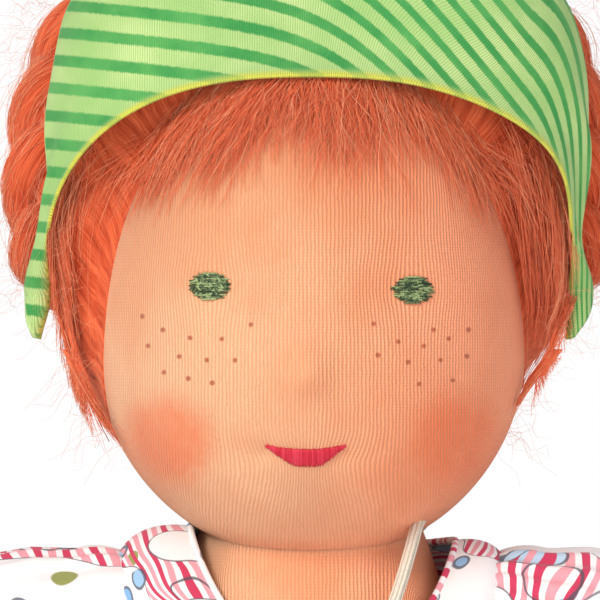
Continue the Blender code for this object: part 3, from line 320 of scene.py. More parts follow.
# Shader helpers
class Nodes:
    """Writes the nodes of one material or group."""

    def __init__(self, tree: Tree) -> None:
        """Keep the tree that nodes are added to."""
        self.tree = tree

    def add(self, kind: str, **settings: object) -> Node:
        """Add a node and set its plain settings."""
        node = self.tree.nodes.new(kind)
        for name, value in settings.items():
            setattr(node, name, value)
        return node

    def feed(self, socket: Socket, value: object) -> None:
        """Link a socket to another one, or set its plain value."""
        if isinstance(value, Socket):
            self.tree.links.new(value, socket)
        elif value is not None:
            socket.default_value = value

    def math(self, operation: str, first: object, second: object = None, third: object = None) -> Socket:
        """One Math node's result."""
        node = self.add("ShaderNodeMath", operation=operation)
        for socket, value in zip(node.inputs, (first, second, third)):
            self.feed(socket, value)
        return node.outputs[0]

    def times(self, first: object, second: object) -> Socket:
        """A product."""
        return self.math("MULTIPLY", first, second)

    def times_add(self, first: object, second: object, third: object) -> Socket:
        """A product with a third value added."""
        return self.math("MULTIPLY_ADD", first, second, third)

    def minus(self, first: object, second: object) -> Socket:
        """A difference."""
        return self.math("SUBTRACT", first, second)

    def over(self, first: object, second: object) -> Socket:
        """A quotient."""
        return self.math("DIVIDE", first, second)

    def off(self, value: object, middle: float) -> Socket:
        """How far a value lies from a middle one."""
        return self.math("ABSOLUTE", self.minus(value, middle))

    def attribute(self, name: str) -> Socket:
        """A mesh attribute's value."""
        return self.add("ShaderNodeAttribute", attribute_name=name).outputs["Fac"]

    def dress(self, shader: Node, colour: object, height: object = None, strength: float = 0.0,
              depth: float = 0.0) -> None:
        """Feed a shader its colour and, where there is a height, its bump."""
        self.feed(shader.inputs["Base Color"], colour)
        if height is not None:
            self.feed(shader.inputs["Normal"], self.bump(height, strength, depth))

    def vector(self, operation: str, first: object, second: object = None) -> Node:
        """One Vector Math node."""
        node = self.add("ShaderNodeVectorMath", operation=operation)
        self.feed(node.inputs[0], first)
        self.feed(node.inputs[1], second)
        return node

    def ramp(self, value: object, low: float, high: float, start: float = 0.0, end: float = 1.0) -> Socket:
        """A smooth change from start to end while the value goes from low to high."""
        node = self.add("ShaderNodeMapRange", interpolation_type="SMOOTHSTEP")
        self.feed(node.inputs["Value"], value)
        for name, number in (("From Min", low), ("From Max", high), ("To Min", start), ("To Max", end)):
            node.inputs[name].default_value = number
        return node.outputs["Result"]

    def mix(self, share: object, first: object, second: object, blend: str = "MIX") -> Socket:
        """A mix of two colours."""
        node = self.add("ShaderNodeMix", data_type="RGBA", blend_type=blend)
        self.feed(node.inputs["Factor"], share)
        colours = [s for s in node.inputs if s.type == "RGBA"]
        for socket, value in zip(colours, (first, second)):
            if isinstance(value, tuple):
                value = (*value, 1.0)
            self.feed(socket, value)
        return [s for s in node.outputs if s.type == "RGBA"][0]

    def noise(self, place: object, scale: float, detail: float = 2.0, rough: float = 0.5,
              colour: bool = False) -> Socket:
        """A noise texture's value, or its colour."""
        node = self.add("ShaderNodeTexNoise")
        self.feed(node.inputs["Vector"], place)
        node.inputs["Scale"].default_value = scale
        node.inputs["Detail"].default_value = detail
        node.inputs["Roughness"].default_value = rough
        return node.outputs["Color" if colour else "Fac"]

    def object_place(self) -> Socket:
        """The place on the doll, in metres."""
        return self.add("ShaderNodeTexCoord").outputs["Object"]

    def cloth_place(self) -> Socket:
        """The place on the flat cloth, from the UV map named Cloth."""
        return self.add("ShaderNodeUVMap", uv_map="Cloth").outputs["UV"]

    def split(self, place: object) -> tuple[Socket, ...]:
        """X, Y and Z of a vector."""
        node = self.add("ShaderNodeSeparateXYZ")
        self.feed(node.inputs[0], place)
        return tuple(node.outputs)

    def join(self, x: object, y: object, z: object = 0.0) -> Socket:
        """A vector from its parts."""
        node = self.add("ShaderNodeCombineXYZ")
        for socket, value in zip(node.inputs, (x, y, z)):
            self.feed(socket, value)
        return node.outputs[0]

    def group(self, tree: Tree, **values: object) -> Node:
        """A shader group with its named inputs fed."""
        node = self.add("ShaderNodeGroup", node_tree=tree)
        for name, value in values.items():
            self.feed(node.inputs[name.replace("_", " ")], value)
        return node

    def bump(self, height: object, strength: float, distance: float) -> Socket:
        """A normal from a height."""
        node = self.add("ShaderNodeBump")
        node.inputs["Strength"].default_value = strength
        node.inputs["Distance"].default_value = distance
        self.feed(node.inputs["Height"], height)
        return node.outputs["Normal"]


def make_group(name: str, inputs: dict[str, tuple[str, object]], outputs: dict[str, str],
               build: Callable[[Nodes, Node, Node], None]) -> Tree:
    """Make a shader group, or return it where it is made already.

    Args:
        name: the group's name.
        inputs: socket kind and plain value by input name.
        outputs: socket kind by output name.
        build: fills the group, given its writer, its input node and its output node.

    Returns:
        The group's tree.
    """
    found = bpy.data.node_groups.get(name)
    if found:
        return found
    tree = bpy.data.node_groups.new(name, "ShaderNodeTree")
    for label, (kind, value) in inputs.items():
        socket = tree.interface.new_socket(name=label, in_out="INPUT", socket_type=kind)
        if kind != "NodeSocketVector":
            socket.default_value = value
    for label, kind in outputs.items():
        tree.interface.new_socket(name=label, in_out="OUTPUT", socket_type=kind)
    writer = Nodes(tree)
    build(writer, writer.add("NodeGroupInput"), writer.add("NodeGroupOutput"))
    return tree


FLOAT, VECTOR, COLOUR = "NodeSocketFloat", "NodeSocketVector", "NodeSocketColor"


def knit_group() -> Tree:
    """Ribs of a fine knit: Height, and Groove, which is 1 in the dotted gaps between ribs."""

    def build(n: Nodes, source: Node, result: Node) -> None:
        across, along, _ = n.split(source.outputs["Place"])
        wobble = n.math("ADD", n.noise(source.outputs["Place"], 260.0, 1.0),
                        n.times(n.noise(source.outputs["Place"], 1100.0, 1.0), 0.45))
        ribs = n.over(across, source.outputs["Rib"])
        ribs = n.times_add(n.minus(wobble, 0.72), source.outputs["Wobble"], ribs)
        rows = n.over(along, source.outputs["Row"])
        off_middle = n.off(n.math("FRACT", ribs), 0.5)
        slant = n.times(off_middle, 1.1)
        loop = n.off(n.math("FRACT", n.math("ADD", rows, slant)), 0.5)
        gap = n.ramp(off_middle, 0.29, 0.5)
        dots = n.ramp(loop, 0.08, 0.42, 0.72, 1.0)
        n.feed(result.inputs["Groove"], n.times(gap, dots))
        crown = n.ramp(off_middle, 0.5, 0.0)
        height = n.times_add(n.ramp(loop, 0.5, 0.0), 0.25, crown)
        n.feed(result.inputs["Height"], height)

    return make_group("knit_ribs", {
        "Place": (VECTOR, None), "Rib": (FLOAT, 0.0009), "Row": (FLOAT, 0.0008), "Wobble": (FLOAT, 0.5),
    }, {"Height": FLOAT, "Groove": FLOAT}, build)


def spots_group(name: str, centres: Sequence[Pair], uneven: float) -> Tree:
    """Distance to the nearest of some places on the face, seen from the front.

    Args:
        name: the group's name.
        centres: places as x and z, in metres.
        uneven: how far the distance is moved by noise, in metres.

    Returns:
        The group, whose output Distance is in metres.
    """

    def build(n: Nodes, source: Node, result: Node) -> None:
        x, _, z = n.split(source.outputs["Place"])
        flat = n.join(x, 0.0, z)
        nearest = None
        for across, up in centres:
            away = n.vector("DISTANCE", flat, (across, 0.0, up)).outputs["Value"]
            nearest = away if nearest is None else n.math("MINIMUM", nearest, away)
        moved = n.minus(n.noise(source.outputs["Place"], 700.0, 1.0), 0.5)
        n.feed(result.inputs["Distance"], n.times_add(moved, uneven, nearest))

    return make_group(name, {"Place": (VECTOR, None)}, {"Distance": FLOAT}, build)


def new_material(name: str, roughness: float, sheen: float = 0.0,
                 sheen_tint: Triple = (1, 1, 1)) -> tuple[Material, Nodes, Node]:
    """A material with its writer and its shader.

    Args:
        name: the material's name.
        roughness: the plain roughness.
        sheen: weight of the fuzz's soft shine.
        sheen_tint: its colour.

    Returns:
        The material, its nodes' writer and its Principled shader.
    """
    made = bpy.data.materials.new(name)
    made.use_nodes = True
    shader = made.node_tree.nodes["Principled BSDF"]
    shader.inputs["Roughness"].default_value = roughness
    shader.inputs["Specular IOR Level"].default_value = 0.25
    shader.inputs["Sheen Weight"].default_value = sheen
    shader.inputs["Sheen Roughness"].default_value = 0.45
    shader.inputs["Sheen Tint"].default_value = (*sheen_tint, 1.0)
    return made, Nodes(made.node_tree), shader


# The head's form
@dataclass(frozen=True)
class HeadForm:
    """The stuffed head: a dome over a U-shaped lower face, tied off at the neck."""

    chin: float = 260 * MM
    half_width: float = 46 * MM
    half_depth: float = 45 * MM
    cheek_rise: float = 43.4 * MM
    height: float = 119 * MM
    chin_setback: float = 2 * MM
    eye_rise: float = 56.9 * MM
    eye_spacing: float = 42.7 * MM
    eye_dip: float = 1.4 * MM
    eye_dip_spread: float = 9 * MM
    mouth_rise: float = 22.6 * MM
    mouth_width: float = 16.8 * MM
    mouth_shift: float = -1.2 * MM
    nose_rise: float = 37.5 * MM
    nose_height: float = 2.3 * MM
    nose_spread: float = 4.1 * MM
    tilt: float = math.radians(12)
    throat_angle: float = math.radians(31)
    neck_half_width: float = 29.5 * MM
    neck_half_depth: float = 20.5 * MM
    neck_flare: float = 4 * MM
    neck_base: float = 244.5 * MM

    @property
    def centre(self) -> Array:
        """The middle of the head's widest level."""
        return np.array([0.0, MIDDLE_Y, self.chin + self.cheek_rise])

    @property
    def upper(self) -> float:
        """Height over the widest level."""
        return self.height - self.cheek_rise

    @property
    def lower(self) -> float:
        """Height under the widest level."""
        return self.cheek_rise + self.chin_setback

    def direction(self, polar: Array, around: Array, tilt: float | None = None) -> Array:
        """Unit directions at polar angles from an axis that points down and leans back."""
        lean = self.tilt if tilt is None else tilt
        x = np.sin(polar) * np.cos(around)
        y = np.sin(polar) * np.sin(around)
        z = -np.cos(polar)
        return xyz(x, y * math.cos(lean) - z * math.sin(lean), y * math.sin(lean) + z * math.cos(lean))

    def spans(self, up: Array, grow: Array | float = 0.0) -> Array:
        """Half sizes across, deep and high, over or under the widest level, all grown outward."""
        tall = np.where(up > 0, self.upper, self.lower)
        return xyz(self.half_width, self.half_depth, tall) + np.asarray(grow, float)[..., None]

    def point(self, direction: Array, grow: Array | float = 0.0) -> Array:
        """Points of the head's surface that unit directions from its centre name."""
        point = direction * self.spans(direction[..., 2], grow)
        above = (point[..., 2] + self.cheek_rise - self.eye_rise) / self.eye_dip_spread
        front = np.minimum(direction[..., 1], 0.0)
        point[..., 1] += self.eye_dip * front * front * np.exp(-above * above)
        return self.centre + point

    def outward(self, direction: Array) -> Array:
        """Unit normals at the same places."""
        return unit(direction / self.spans(direction[..., 2]))

    def front_direction(self, across: Array, rise: Array) -> Array:
        """Directions of places on the face, given across and their rise over the chin."""
        up = np.asarray(rise, float) - self.cheek_rise
        z = up / np.where(up > 0, self.upper, self.lower)
        x = np.asarray(across, float) / self.half_width
        y = -np.sqrt(np.clip(1.0 - x * x - z * z, 0.0, 1.0))
        return xyz(x, y, z)

    def face_point(self, across: Array, rise: Array, lift: Array | float = 0.0) -> Array:
        """Points in front of the face, lifted off its dressed surface."""
        direction = self.front_direction(across, rise)
        point = self.point(direction) + self.outward(direction) * np.asarray(lift, float)[..., None]
        point[..., 1] -= self.relief(point[..., 0], point[..., 2])
        return point

    def relief(self, x: Array, z: Array) -> Array:
        """How far the nose stands out of the face, and the stitched places lie in it."""
        rise = z - self.chin
        nose_up = rise - self.nose_rise
        tall = np.where(nose_up > 0, 1.35, 0.9) * self.nose_spread
        relief = self.nose_height * np.exp(-(x / self.nose_spread) ** 2 - (nose_up / tall) ** 2)
        corner = self.mouth_width * 0.48
        # Each dent: its place across and up, its spread across and up, and its depth, in millimetres
        dents = [(0.0, -1.6, 9.0, 2.6, 0.5, self.mouth_shift, self.mouth_rise)]
        for side in (-1, 1):
            dents += [(0.0, 0.0, 7.5, 5.5, 0.9, side * self.eye_spacing / 2, self.eye_rise),
                      (0.0, -0.4, 3.0, 2.4, 0.8, self.mouth_shift + side * corner, self.mouth_rise)]
        for across, up, wide, tall, deep, middle_x, middle_rise in dents:
            beside = ((x - middle_x) / MM - across) / wide
            above = ((rise - middle_rise) / MM - up) / tall
            relief = relief - deep * MM * np.exp(-beside ** 2 - above ** 2)
        return relief


HEAD = HeadForm()


@dataclass(frozen=True)
class SkinFinish:
    """Peach cotton jersey with fine upright ribs, freckles and two blushed cheeks."""

    light: Triple = (0.98, 0.54, 0.31)
    deep: Triple = (0.88, 0.34, 0.16)
    # Painted shade in the dotted gaps between the ribs
    groove: Triple = (0.60, 0.20, 0.085)
    blush: Triple = (0.97, 0.20, 0.075)
    freckle: Triple = (0.46, 0.10, 0.045)
    # Painted shade: the skin is multiplied darker and redder towards the doll's left, away from the key lamp
    glow: Triple = (1.10, 0.72, 0.66)
    # Painted shadow of the fringe and kerchief on the upper face
    brow: Triple = (0.86, 0.755, 0.705)
    rib: float = 0.84 * MM
    row: float = 0.66 * MM
    blush_places: tuple[Pair, ...] = ((-30.6, 24.3), (31.0, 24.3))
    blush_reach: float = 13 * MM
    freckle_radius: float = 0.42 * MM
    # Places of the freckles on the face: across and rise over the chin, in millimetres
    freckle_places: tuple[Pair, ...] = (
        (-35.9, 50.5), (-31.4, 47.7), (-34.6, 44.3), (-25.6, 46.0), (-18.9, 45.8), (-12.7, 48.8),
        (-27.9, 42.1), (-22.1, 41.3), (-16.1, 41.3), (-31.2, 38.7), (-26.0, 37.4), (-20.9, 36.5),
        (13.1, 49.0), (18.3, 45.2), (25.8, 47.7), (23.7, 44.3), (29.0, 45.8), (33.3, 47.7),
        (14.0, 42.4), (20.4, 40.9), (27.3, 41.3), (32.9, 42.1), (22.8, 36.3), (29.9, 37.0))

    @staticmethod
    def nearest(n: Nodes, place: Socket, name: str, spots: Sequence[Pair],
                uneven: float) -> Socket:
        """Distance to the nearest of some spots on the face, unevenly measured."""
        centres = [(x * MM, HEAD.chin + z * MM) for x, z in spots]
        return n.group(spots_group(name, centres, uneven), Place=place).outputs["Distance"]

    def material(self, name: str, with_face: bool) -> Material:
        """The knit skin's material.

        Args:
            name: the material's name.
            with_face: whether it has the freckles and blush of the head.

        Returns:
            The material, which reads the UV map Cloth in metres.
        """
        made, n, shader = new_material(name, 0.86, 0.32, (1.0, 0.78, 0.62))
        cloth = n.cloth_place()
        knit = n.group(knit_group(), Place=cloth, Rib=self.rib, Row=self.row, Wobble=0.55)
        place = n.object_place()
        uneven = n.noise(place, 42.0, 3.0)
        base = n.mix(n.ramp(uneven, 0.36, 0.68, 0.0, 0.55), self.light, self.deep)
        fine = n.noise(cloth, 1500.0, 2.0)
        base = n.mix(n.ramp(fine, 0.3, 0.7, 0.0, 0.16), base, self.deep)
        beside, _, high = n.split(place)
        # Painted shade: darker and redder towards the doll's left, away from the key lamp
        base = n.mix(n.ramp(beside, -22 * MM, 40 * MM), base, self.glow, "MULTIPLY")
        # Painted shadow of the fringe and kerchief: the skin is multiplied darker and redder from the eyes up
        # to the hairline
        base = n.mix(n.ramp(high, HEAD.chin + 56 * MM, HEAD.chin + 88 * MM), base, self.brow, "MULTIPLY")
        if with_face:
            away = self.nearest(n, place, "cheek_places", self.blush_places, 3 * MM)
            share = n.times(n.ramp(away, self.blush_reach, 5 * MM),
                           n.ramp(n.noise(place, 130.0, 3.0), 0.2, 0.6, 0.62, 1.0))
            base = n.mix(n.times(share, 0.74), base, self.blush)
        # Painted shade in the dotted gaps between the ribs, stronger in noisy patches
        groove_shade_share = n.times(knit.outputs["Groove"],
                         n.ramp(n.noise(place, 30.0, 2.0), 0.30, 0.58, 0.34, 0.76))
        base = n.mix(groove_shade_share, base, self.groove)
        if with_face:
            near = self.nearest(n, place, "freckle_places", self.freckle_places, 0.35 * MM)
            spot = n.ramp(near, self.freckle_radius + 0.28 * MM, self.freckle_radius - 0.12 * MM, 0.0, 0.88)
            _, front, _ = n.split(place)
            spot = n.times(spot, n.math("LESS_THAN", front, MIDDLE_Y))
            base = n.mix(spot, base, self.freckle)
        n.dress(shader, base, knit.outputs["Height"], 0.75, 0.42 * MM)
        return made


@dataclass(frozen=True)
class ThreadFinish:
    """Embroidery thread with painted glints: lighter in noisy patches along its strands and from strand to
    strand.
    """

    name: str
    dark: Triple
    light: Triple
    contrast: float = 1.5

    def material(self) -> Material:
        """The thread's material, shaded strand by strand by the attribute Shade."""
        made, n, shader = new_material(self.name, 0.42)
        shader.inputs["Specular IOR Level"].default_value = 0.4
        shade = n.attribute("Shade")
        strand, along, _ = n.split(n.cloth_place())
        twist = n.noise(n.join(n.times(strand, 190.0), n.times(along, 9.0)), 1.0, 2.0)
        share = n.times_add(n.minus(twist, 0.5), self.contrast, shade)
        n.dress(shader, n.mix(n.ramp(share, 0.3, 1.0), self.dark, self.light))
        return made


@dataclass
class Head:
    """The knit head with its stitched eyes and mouth."""

    form: HeadForm
    columns: int = 250
    rows: int = 190
    neck_share: float = 0.10

    def place(self, u: Array, v: Array) -> Array:
        """Points of the head: u runs round it from the back, v from the neck's base to the crown."""
        form = self.form
        around = TURN * u + math.pi / 2
        throat_share = np.clip(v / self.neck_share, 0.0, 1.0)
        over = np.clip((v - self.neck_share) / (1.0 - self.neck_share), 0.0, 1.0)
        polar = form.throat_angle + (math.pi - form.throat_angle) * over
        skin = form.point(form.direction(polar, around))
        base = xyz(np.cos(around) * form.neck_half_width,
                   np.sin(around) * form.neck_half_depth + MIDDLE_Y, form.neck_base)
        bend = throat_share ** 1.6
        base[:, :2] += (base[:, :2] - form.centre[:2]) * (form.neck_flare / form.neck_half_width
                                                          * (1 - throat_share) ** 3)[:, None]
        points = base + (skin - base) * xyz(throat_share ** 2.2, throat_share ** 2.2, bend)
        points = np.where((v < self.neck_share)[:, None], points, skin)
        front = np.clip((form.centre[1] - points[:, 1]) / (12 * MM), 0.0, 1.0)
        points[:, 1] -= form.relief(points[:, 0], points[:, 2]) * front
        return points

    def flat(self, u: Array, v: Array) -> tuple[Array, Array]:
        """Cloth coordinates: ribs run upright over the face and gather in to the stitches."""
        form = self.form
        points = self.place(u, v)
        x, z = points[:, 0], points[:, 2]
        around = TURN * u - math.pi
        radius = form.half_width
        upright = radius * np.arcsin(np.clip(x / radius, -1.0, 1.0))
        front = smooth_ramp(np.abs(around), math.radians(88), math.radians(40))
        across = upright * front + radius * around * (1.0 - front)
        rise = z - form.chin
        for side in (-1, 1):
            away = x - side * form.eye_spacing / 2
            falls = np.exp(-(away / (8 * MM)) ** 2 - ((rise - form.eye_rise) / (7 * MM)) ** 2)
            across = across - 0.34 * away * falls
        away = x - form.mouth_shift
        under = rise - form.mouth_rise + 4 * MM
        tall = np.where(under > 0, 5 * MM, 10 * MM)
        across = across + 0.55 * away * np.exp(-(away / (11 * MM)) ** 2 - (under / tall) ** 2)
        up = np.where(rise > form.cheek_rise, form.upper, form.lower)
        along = up * np.arcsin(np.clip((rise - form.cheek_rise) / up, -1.0, 1.0))
        along = np.where(v < self.neck_share, rise - 20 * MM, along)
        return across, along

    def build_skin(self, material: Material) -> None:
        """The knit skin over the head and down to the neck's base."""
        piece = mapped_grid("head_knit", (self.columns, self.rows), self.place, self.flat, FINE_MERGE)
        finish_piece(piece, material, "torso",
                     ["head_skin", "head_core", "nose_bead", "neck_tie"])

    def satin(self, name: str, lines: Sequence[tuple[float, float, float, float, float]], radius: float,
              finish: Material, node: str, crown: float, seed: int) -> None:
        """Parallel stitches on the face.

        Args:
            name: the new piece's name.
            lines: each stitch's start across and rise, its end across and rise, and its lift.
            radius: half the thread's thickness.
            finish: the thread's material.
            node: the node that it stands for.
            crown: how far a stitch's middle stands proud.
            seed: seed of the threads' shades.
        """
        steps = 9
        share = np.linspace(0.0, 1.0, steps)
        rows = np.array(lines)
        across = rows[:, 0:1] + (rows[:, 2:3] - rows[:, 0:1]) * share
        rise = rows[:, 1:2] + (rows[:, 3:4] - rows[:, 1:2]) * share
        sunk = 0.9 * np.abs(2 * share - 1) ** 6
        lift = rows[:, 4:5] + crown * np.sin(math.pi * share) ** 0.6 - radius * sunk
        points = self.form.face_point(across, rise, lift)
        widths = np.broadcast_to(radius * (1.0 - 0.35 * np.abs(2 * share - 1) ** 4), across.shape)
        # Painted glints: each stitch gets its own random shade between the thread's dark and light
        shades = np.random.default_rng(seed).uniform(0.1, 0.9, len(rows))
        piece = tubes_mesh(name, points, widths, 6, shades)
        finish_piece(piece, finish, "torso", [node])

    def build_eyes(self, finish: Material) -> None:
        """Two ovals of flat stitches that run across."""
        for side in Side:
            draw = np.random.default_rng(31 + side.value)
            centre = side.value * self.form.eye_spacing / 2
            level = self.form.eye_rise - (0.8 * MM if side is Side.LEFT else 0.0)
            lines = []
            threads = 14
            for thread in range(threads):
                up = 2 * (thread + 0.5) / threads - 1
                half = 4.3 * MM * (1 - abs(up) ** 2.3) ** 0.5
                ragged = draw.uniform(-0.4, 0.4, 4) * MM
                rise = level + up * 2.9 * MM
                lines.append((centre - half + ragged[0], rise + ragged[2] * 0.4,
                              centre + half + ragged[1], rise + ragged[3] * 0.4, 0.26 * MM))
            lean = 0.16 if side is Side.LEFT else 0.75
            for stitch in range(66):
                turn, out = draw.uniform(0, TURN), math.sqrt(draw.random())
                x, up = out * math.cos(turn) * 3.6 * MM, out * math.sin(turn) * 2.5 * MM
                slant, half = draw.normal(0.0, lean), draw.uniform(0.45, 1.15) * MM
                lines.append((centre + x - half * math.cos(slant), level + up - half * math.sin(slant),
                              centre + x + half * math.cos(slant), level + up + half * math.sin(slant),
                              draw.uniform(0.30, 0.50) * MM))
            self.satin(f"eye_stitches_{side.label}", lines, 0.21 * MM, finish,
                       f"eye_{side.label}", 0.25 * MM, 5 + side.value)

    def build_mouth(self, finish: Material) -> None:
        """A smile of close upright stitches, flat along its top."""
        half = self.form.mouth_width / 2
        threads = 64
        draw = np.random.default_rng(77)
        lines = []
        for thread in range(threads):
            share = 2 * (thread + 0.5) / threads - 1
            across = share * half + self.form.mouth_shift
            slope = min(1.0, (1 + share) / 0.72, (1 - share) / 0.62)
            deep = 3.5 * MM * slope ** 0.9 + 0.2 * MM
            top = self.form.mouth_rise + 0.9 * MM * share * share + draw.uniform(-0.08, 0.08) * MM
            lines.append((across, top, across + draw.uniform(-0.12, 0.12) * MM,
                          top - deep + draw.uniform(-0.1, 0.1) * MM, 0.28 * MM))
        self.satin("mouth_stitches", lines, 0.2 * MM, finish, "mouth", 0.22 * MM, 9)


# Kerchief
@dataclass(frozen=True)
class KerchiefFinish:
    """Striped jersey: pale yellow green ground, green stripes, fine ribs across the stripes."""

    period: float = 6.0 * MM
    stripe_share: float = 0.41
    rib: float = 0.52 * MM
    row: float = 0.42 * MM
    ground: Triple = (0.37, 0.60, 0.20)
    pale: Triple = (0.56, 0.74, 0.30)
    green: Triple = (0.040, 0.31, 0.075)
    bright: Triple = (0.11, 0.43, 0.11)
    # Painted highlight along the rolled front edge
    edge: Triple = (0.80, 0.72, 0.05)
    shadow: Triple = (0.10, 0.26, 0.04)

    def material(self, half_long: float) -> Material:
        """The jersey's material.

        Args:
            half_long: half of the flat triangle's long edge.

        Returns:
            The material, which reads the flat place (along the long edge, back from it) in metres.
        """
        made, n, shader = new_material("kerchief_stripes", 0.88, 0.25, (0.9, 1.0, 0.7))
        across, back, _ = n.split(n.cloth_place())
        turned = 1 / math.sqrt(2)
        rib_way = n.times(n.minus(n.math("ADD", half_long, across), back), turned)
        stripe_place = n.attribute("StripePlace")
        drawn_ribs = n.attribute("RibPlace")
        knit = n.group(knit_group(), Place=n.join(drawn_ribs, stripe_place), Rib=self.rib, Row=self.row,
                       Wobble=0.25)
        ripple = n.noise(n.join(drawn_ribs, stripe_place), 900.0, 1.0)
        jag = n.times_add(knit.outputs["Height"], 0.16 * MM, stripe_place)
        jag = n.times_add(n.minus(ripple, 0.5), 0.5 * MM, jag)
        phase = n.math("FRACT", n.over(jag, self.period))
        off = n.off(phase, 0.5)
        stripe = n.ramp(off, self.stripe_share / 2 + 0.045, self.stripe_share / 2 - 0.045)
        place = n.object_place()
        cloudy = n.noise(place, 60.0, 3.0)
        ground = n.mix(n.ramp(cloudy, 0.3, 0.7), self.ground, self.pale)
        green = n.mix(n.ramp(n.noise(place, 90.0, 3.0), 0.35, 0.7), self.green, self.bright)
        # Painted highlight: pale yellow along the rolled front edge, with its stripes faded there
        front = n.ramp(back, 2.4 * MM, 0.3 * MM, 0.0, 0.75)
        stripe = n.times(stripe, n.ramp(back, 0.2 * MM, 3.0 * MM, 0.30, 1.0))
        base = n.mix(stripe, n.mix(front, ground, self.edge), green)
        # Painted shade in the dotted gaps between the ribs, stronger in noisy patches
        groove_shade_share = n.times(knit.outputs["Groove"], n.ramp(cloudy, 0.3, 0.6, 0.42, 0.72))
        base = n.mix(groove_shade_share, base, self.shadow)
        # Painted highlight: paler along one rolled cut edge
        cut = n.ramp(rib_way, 0.9 * MM, 0.35 * MM, 0.0, 0.8)
        base = n.mix(cut, base, self.pale)
        n.dress(shader, base, knit.outputs["Height"], 0.5, 0.25 * MM)
        return made


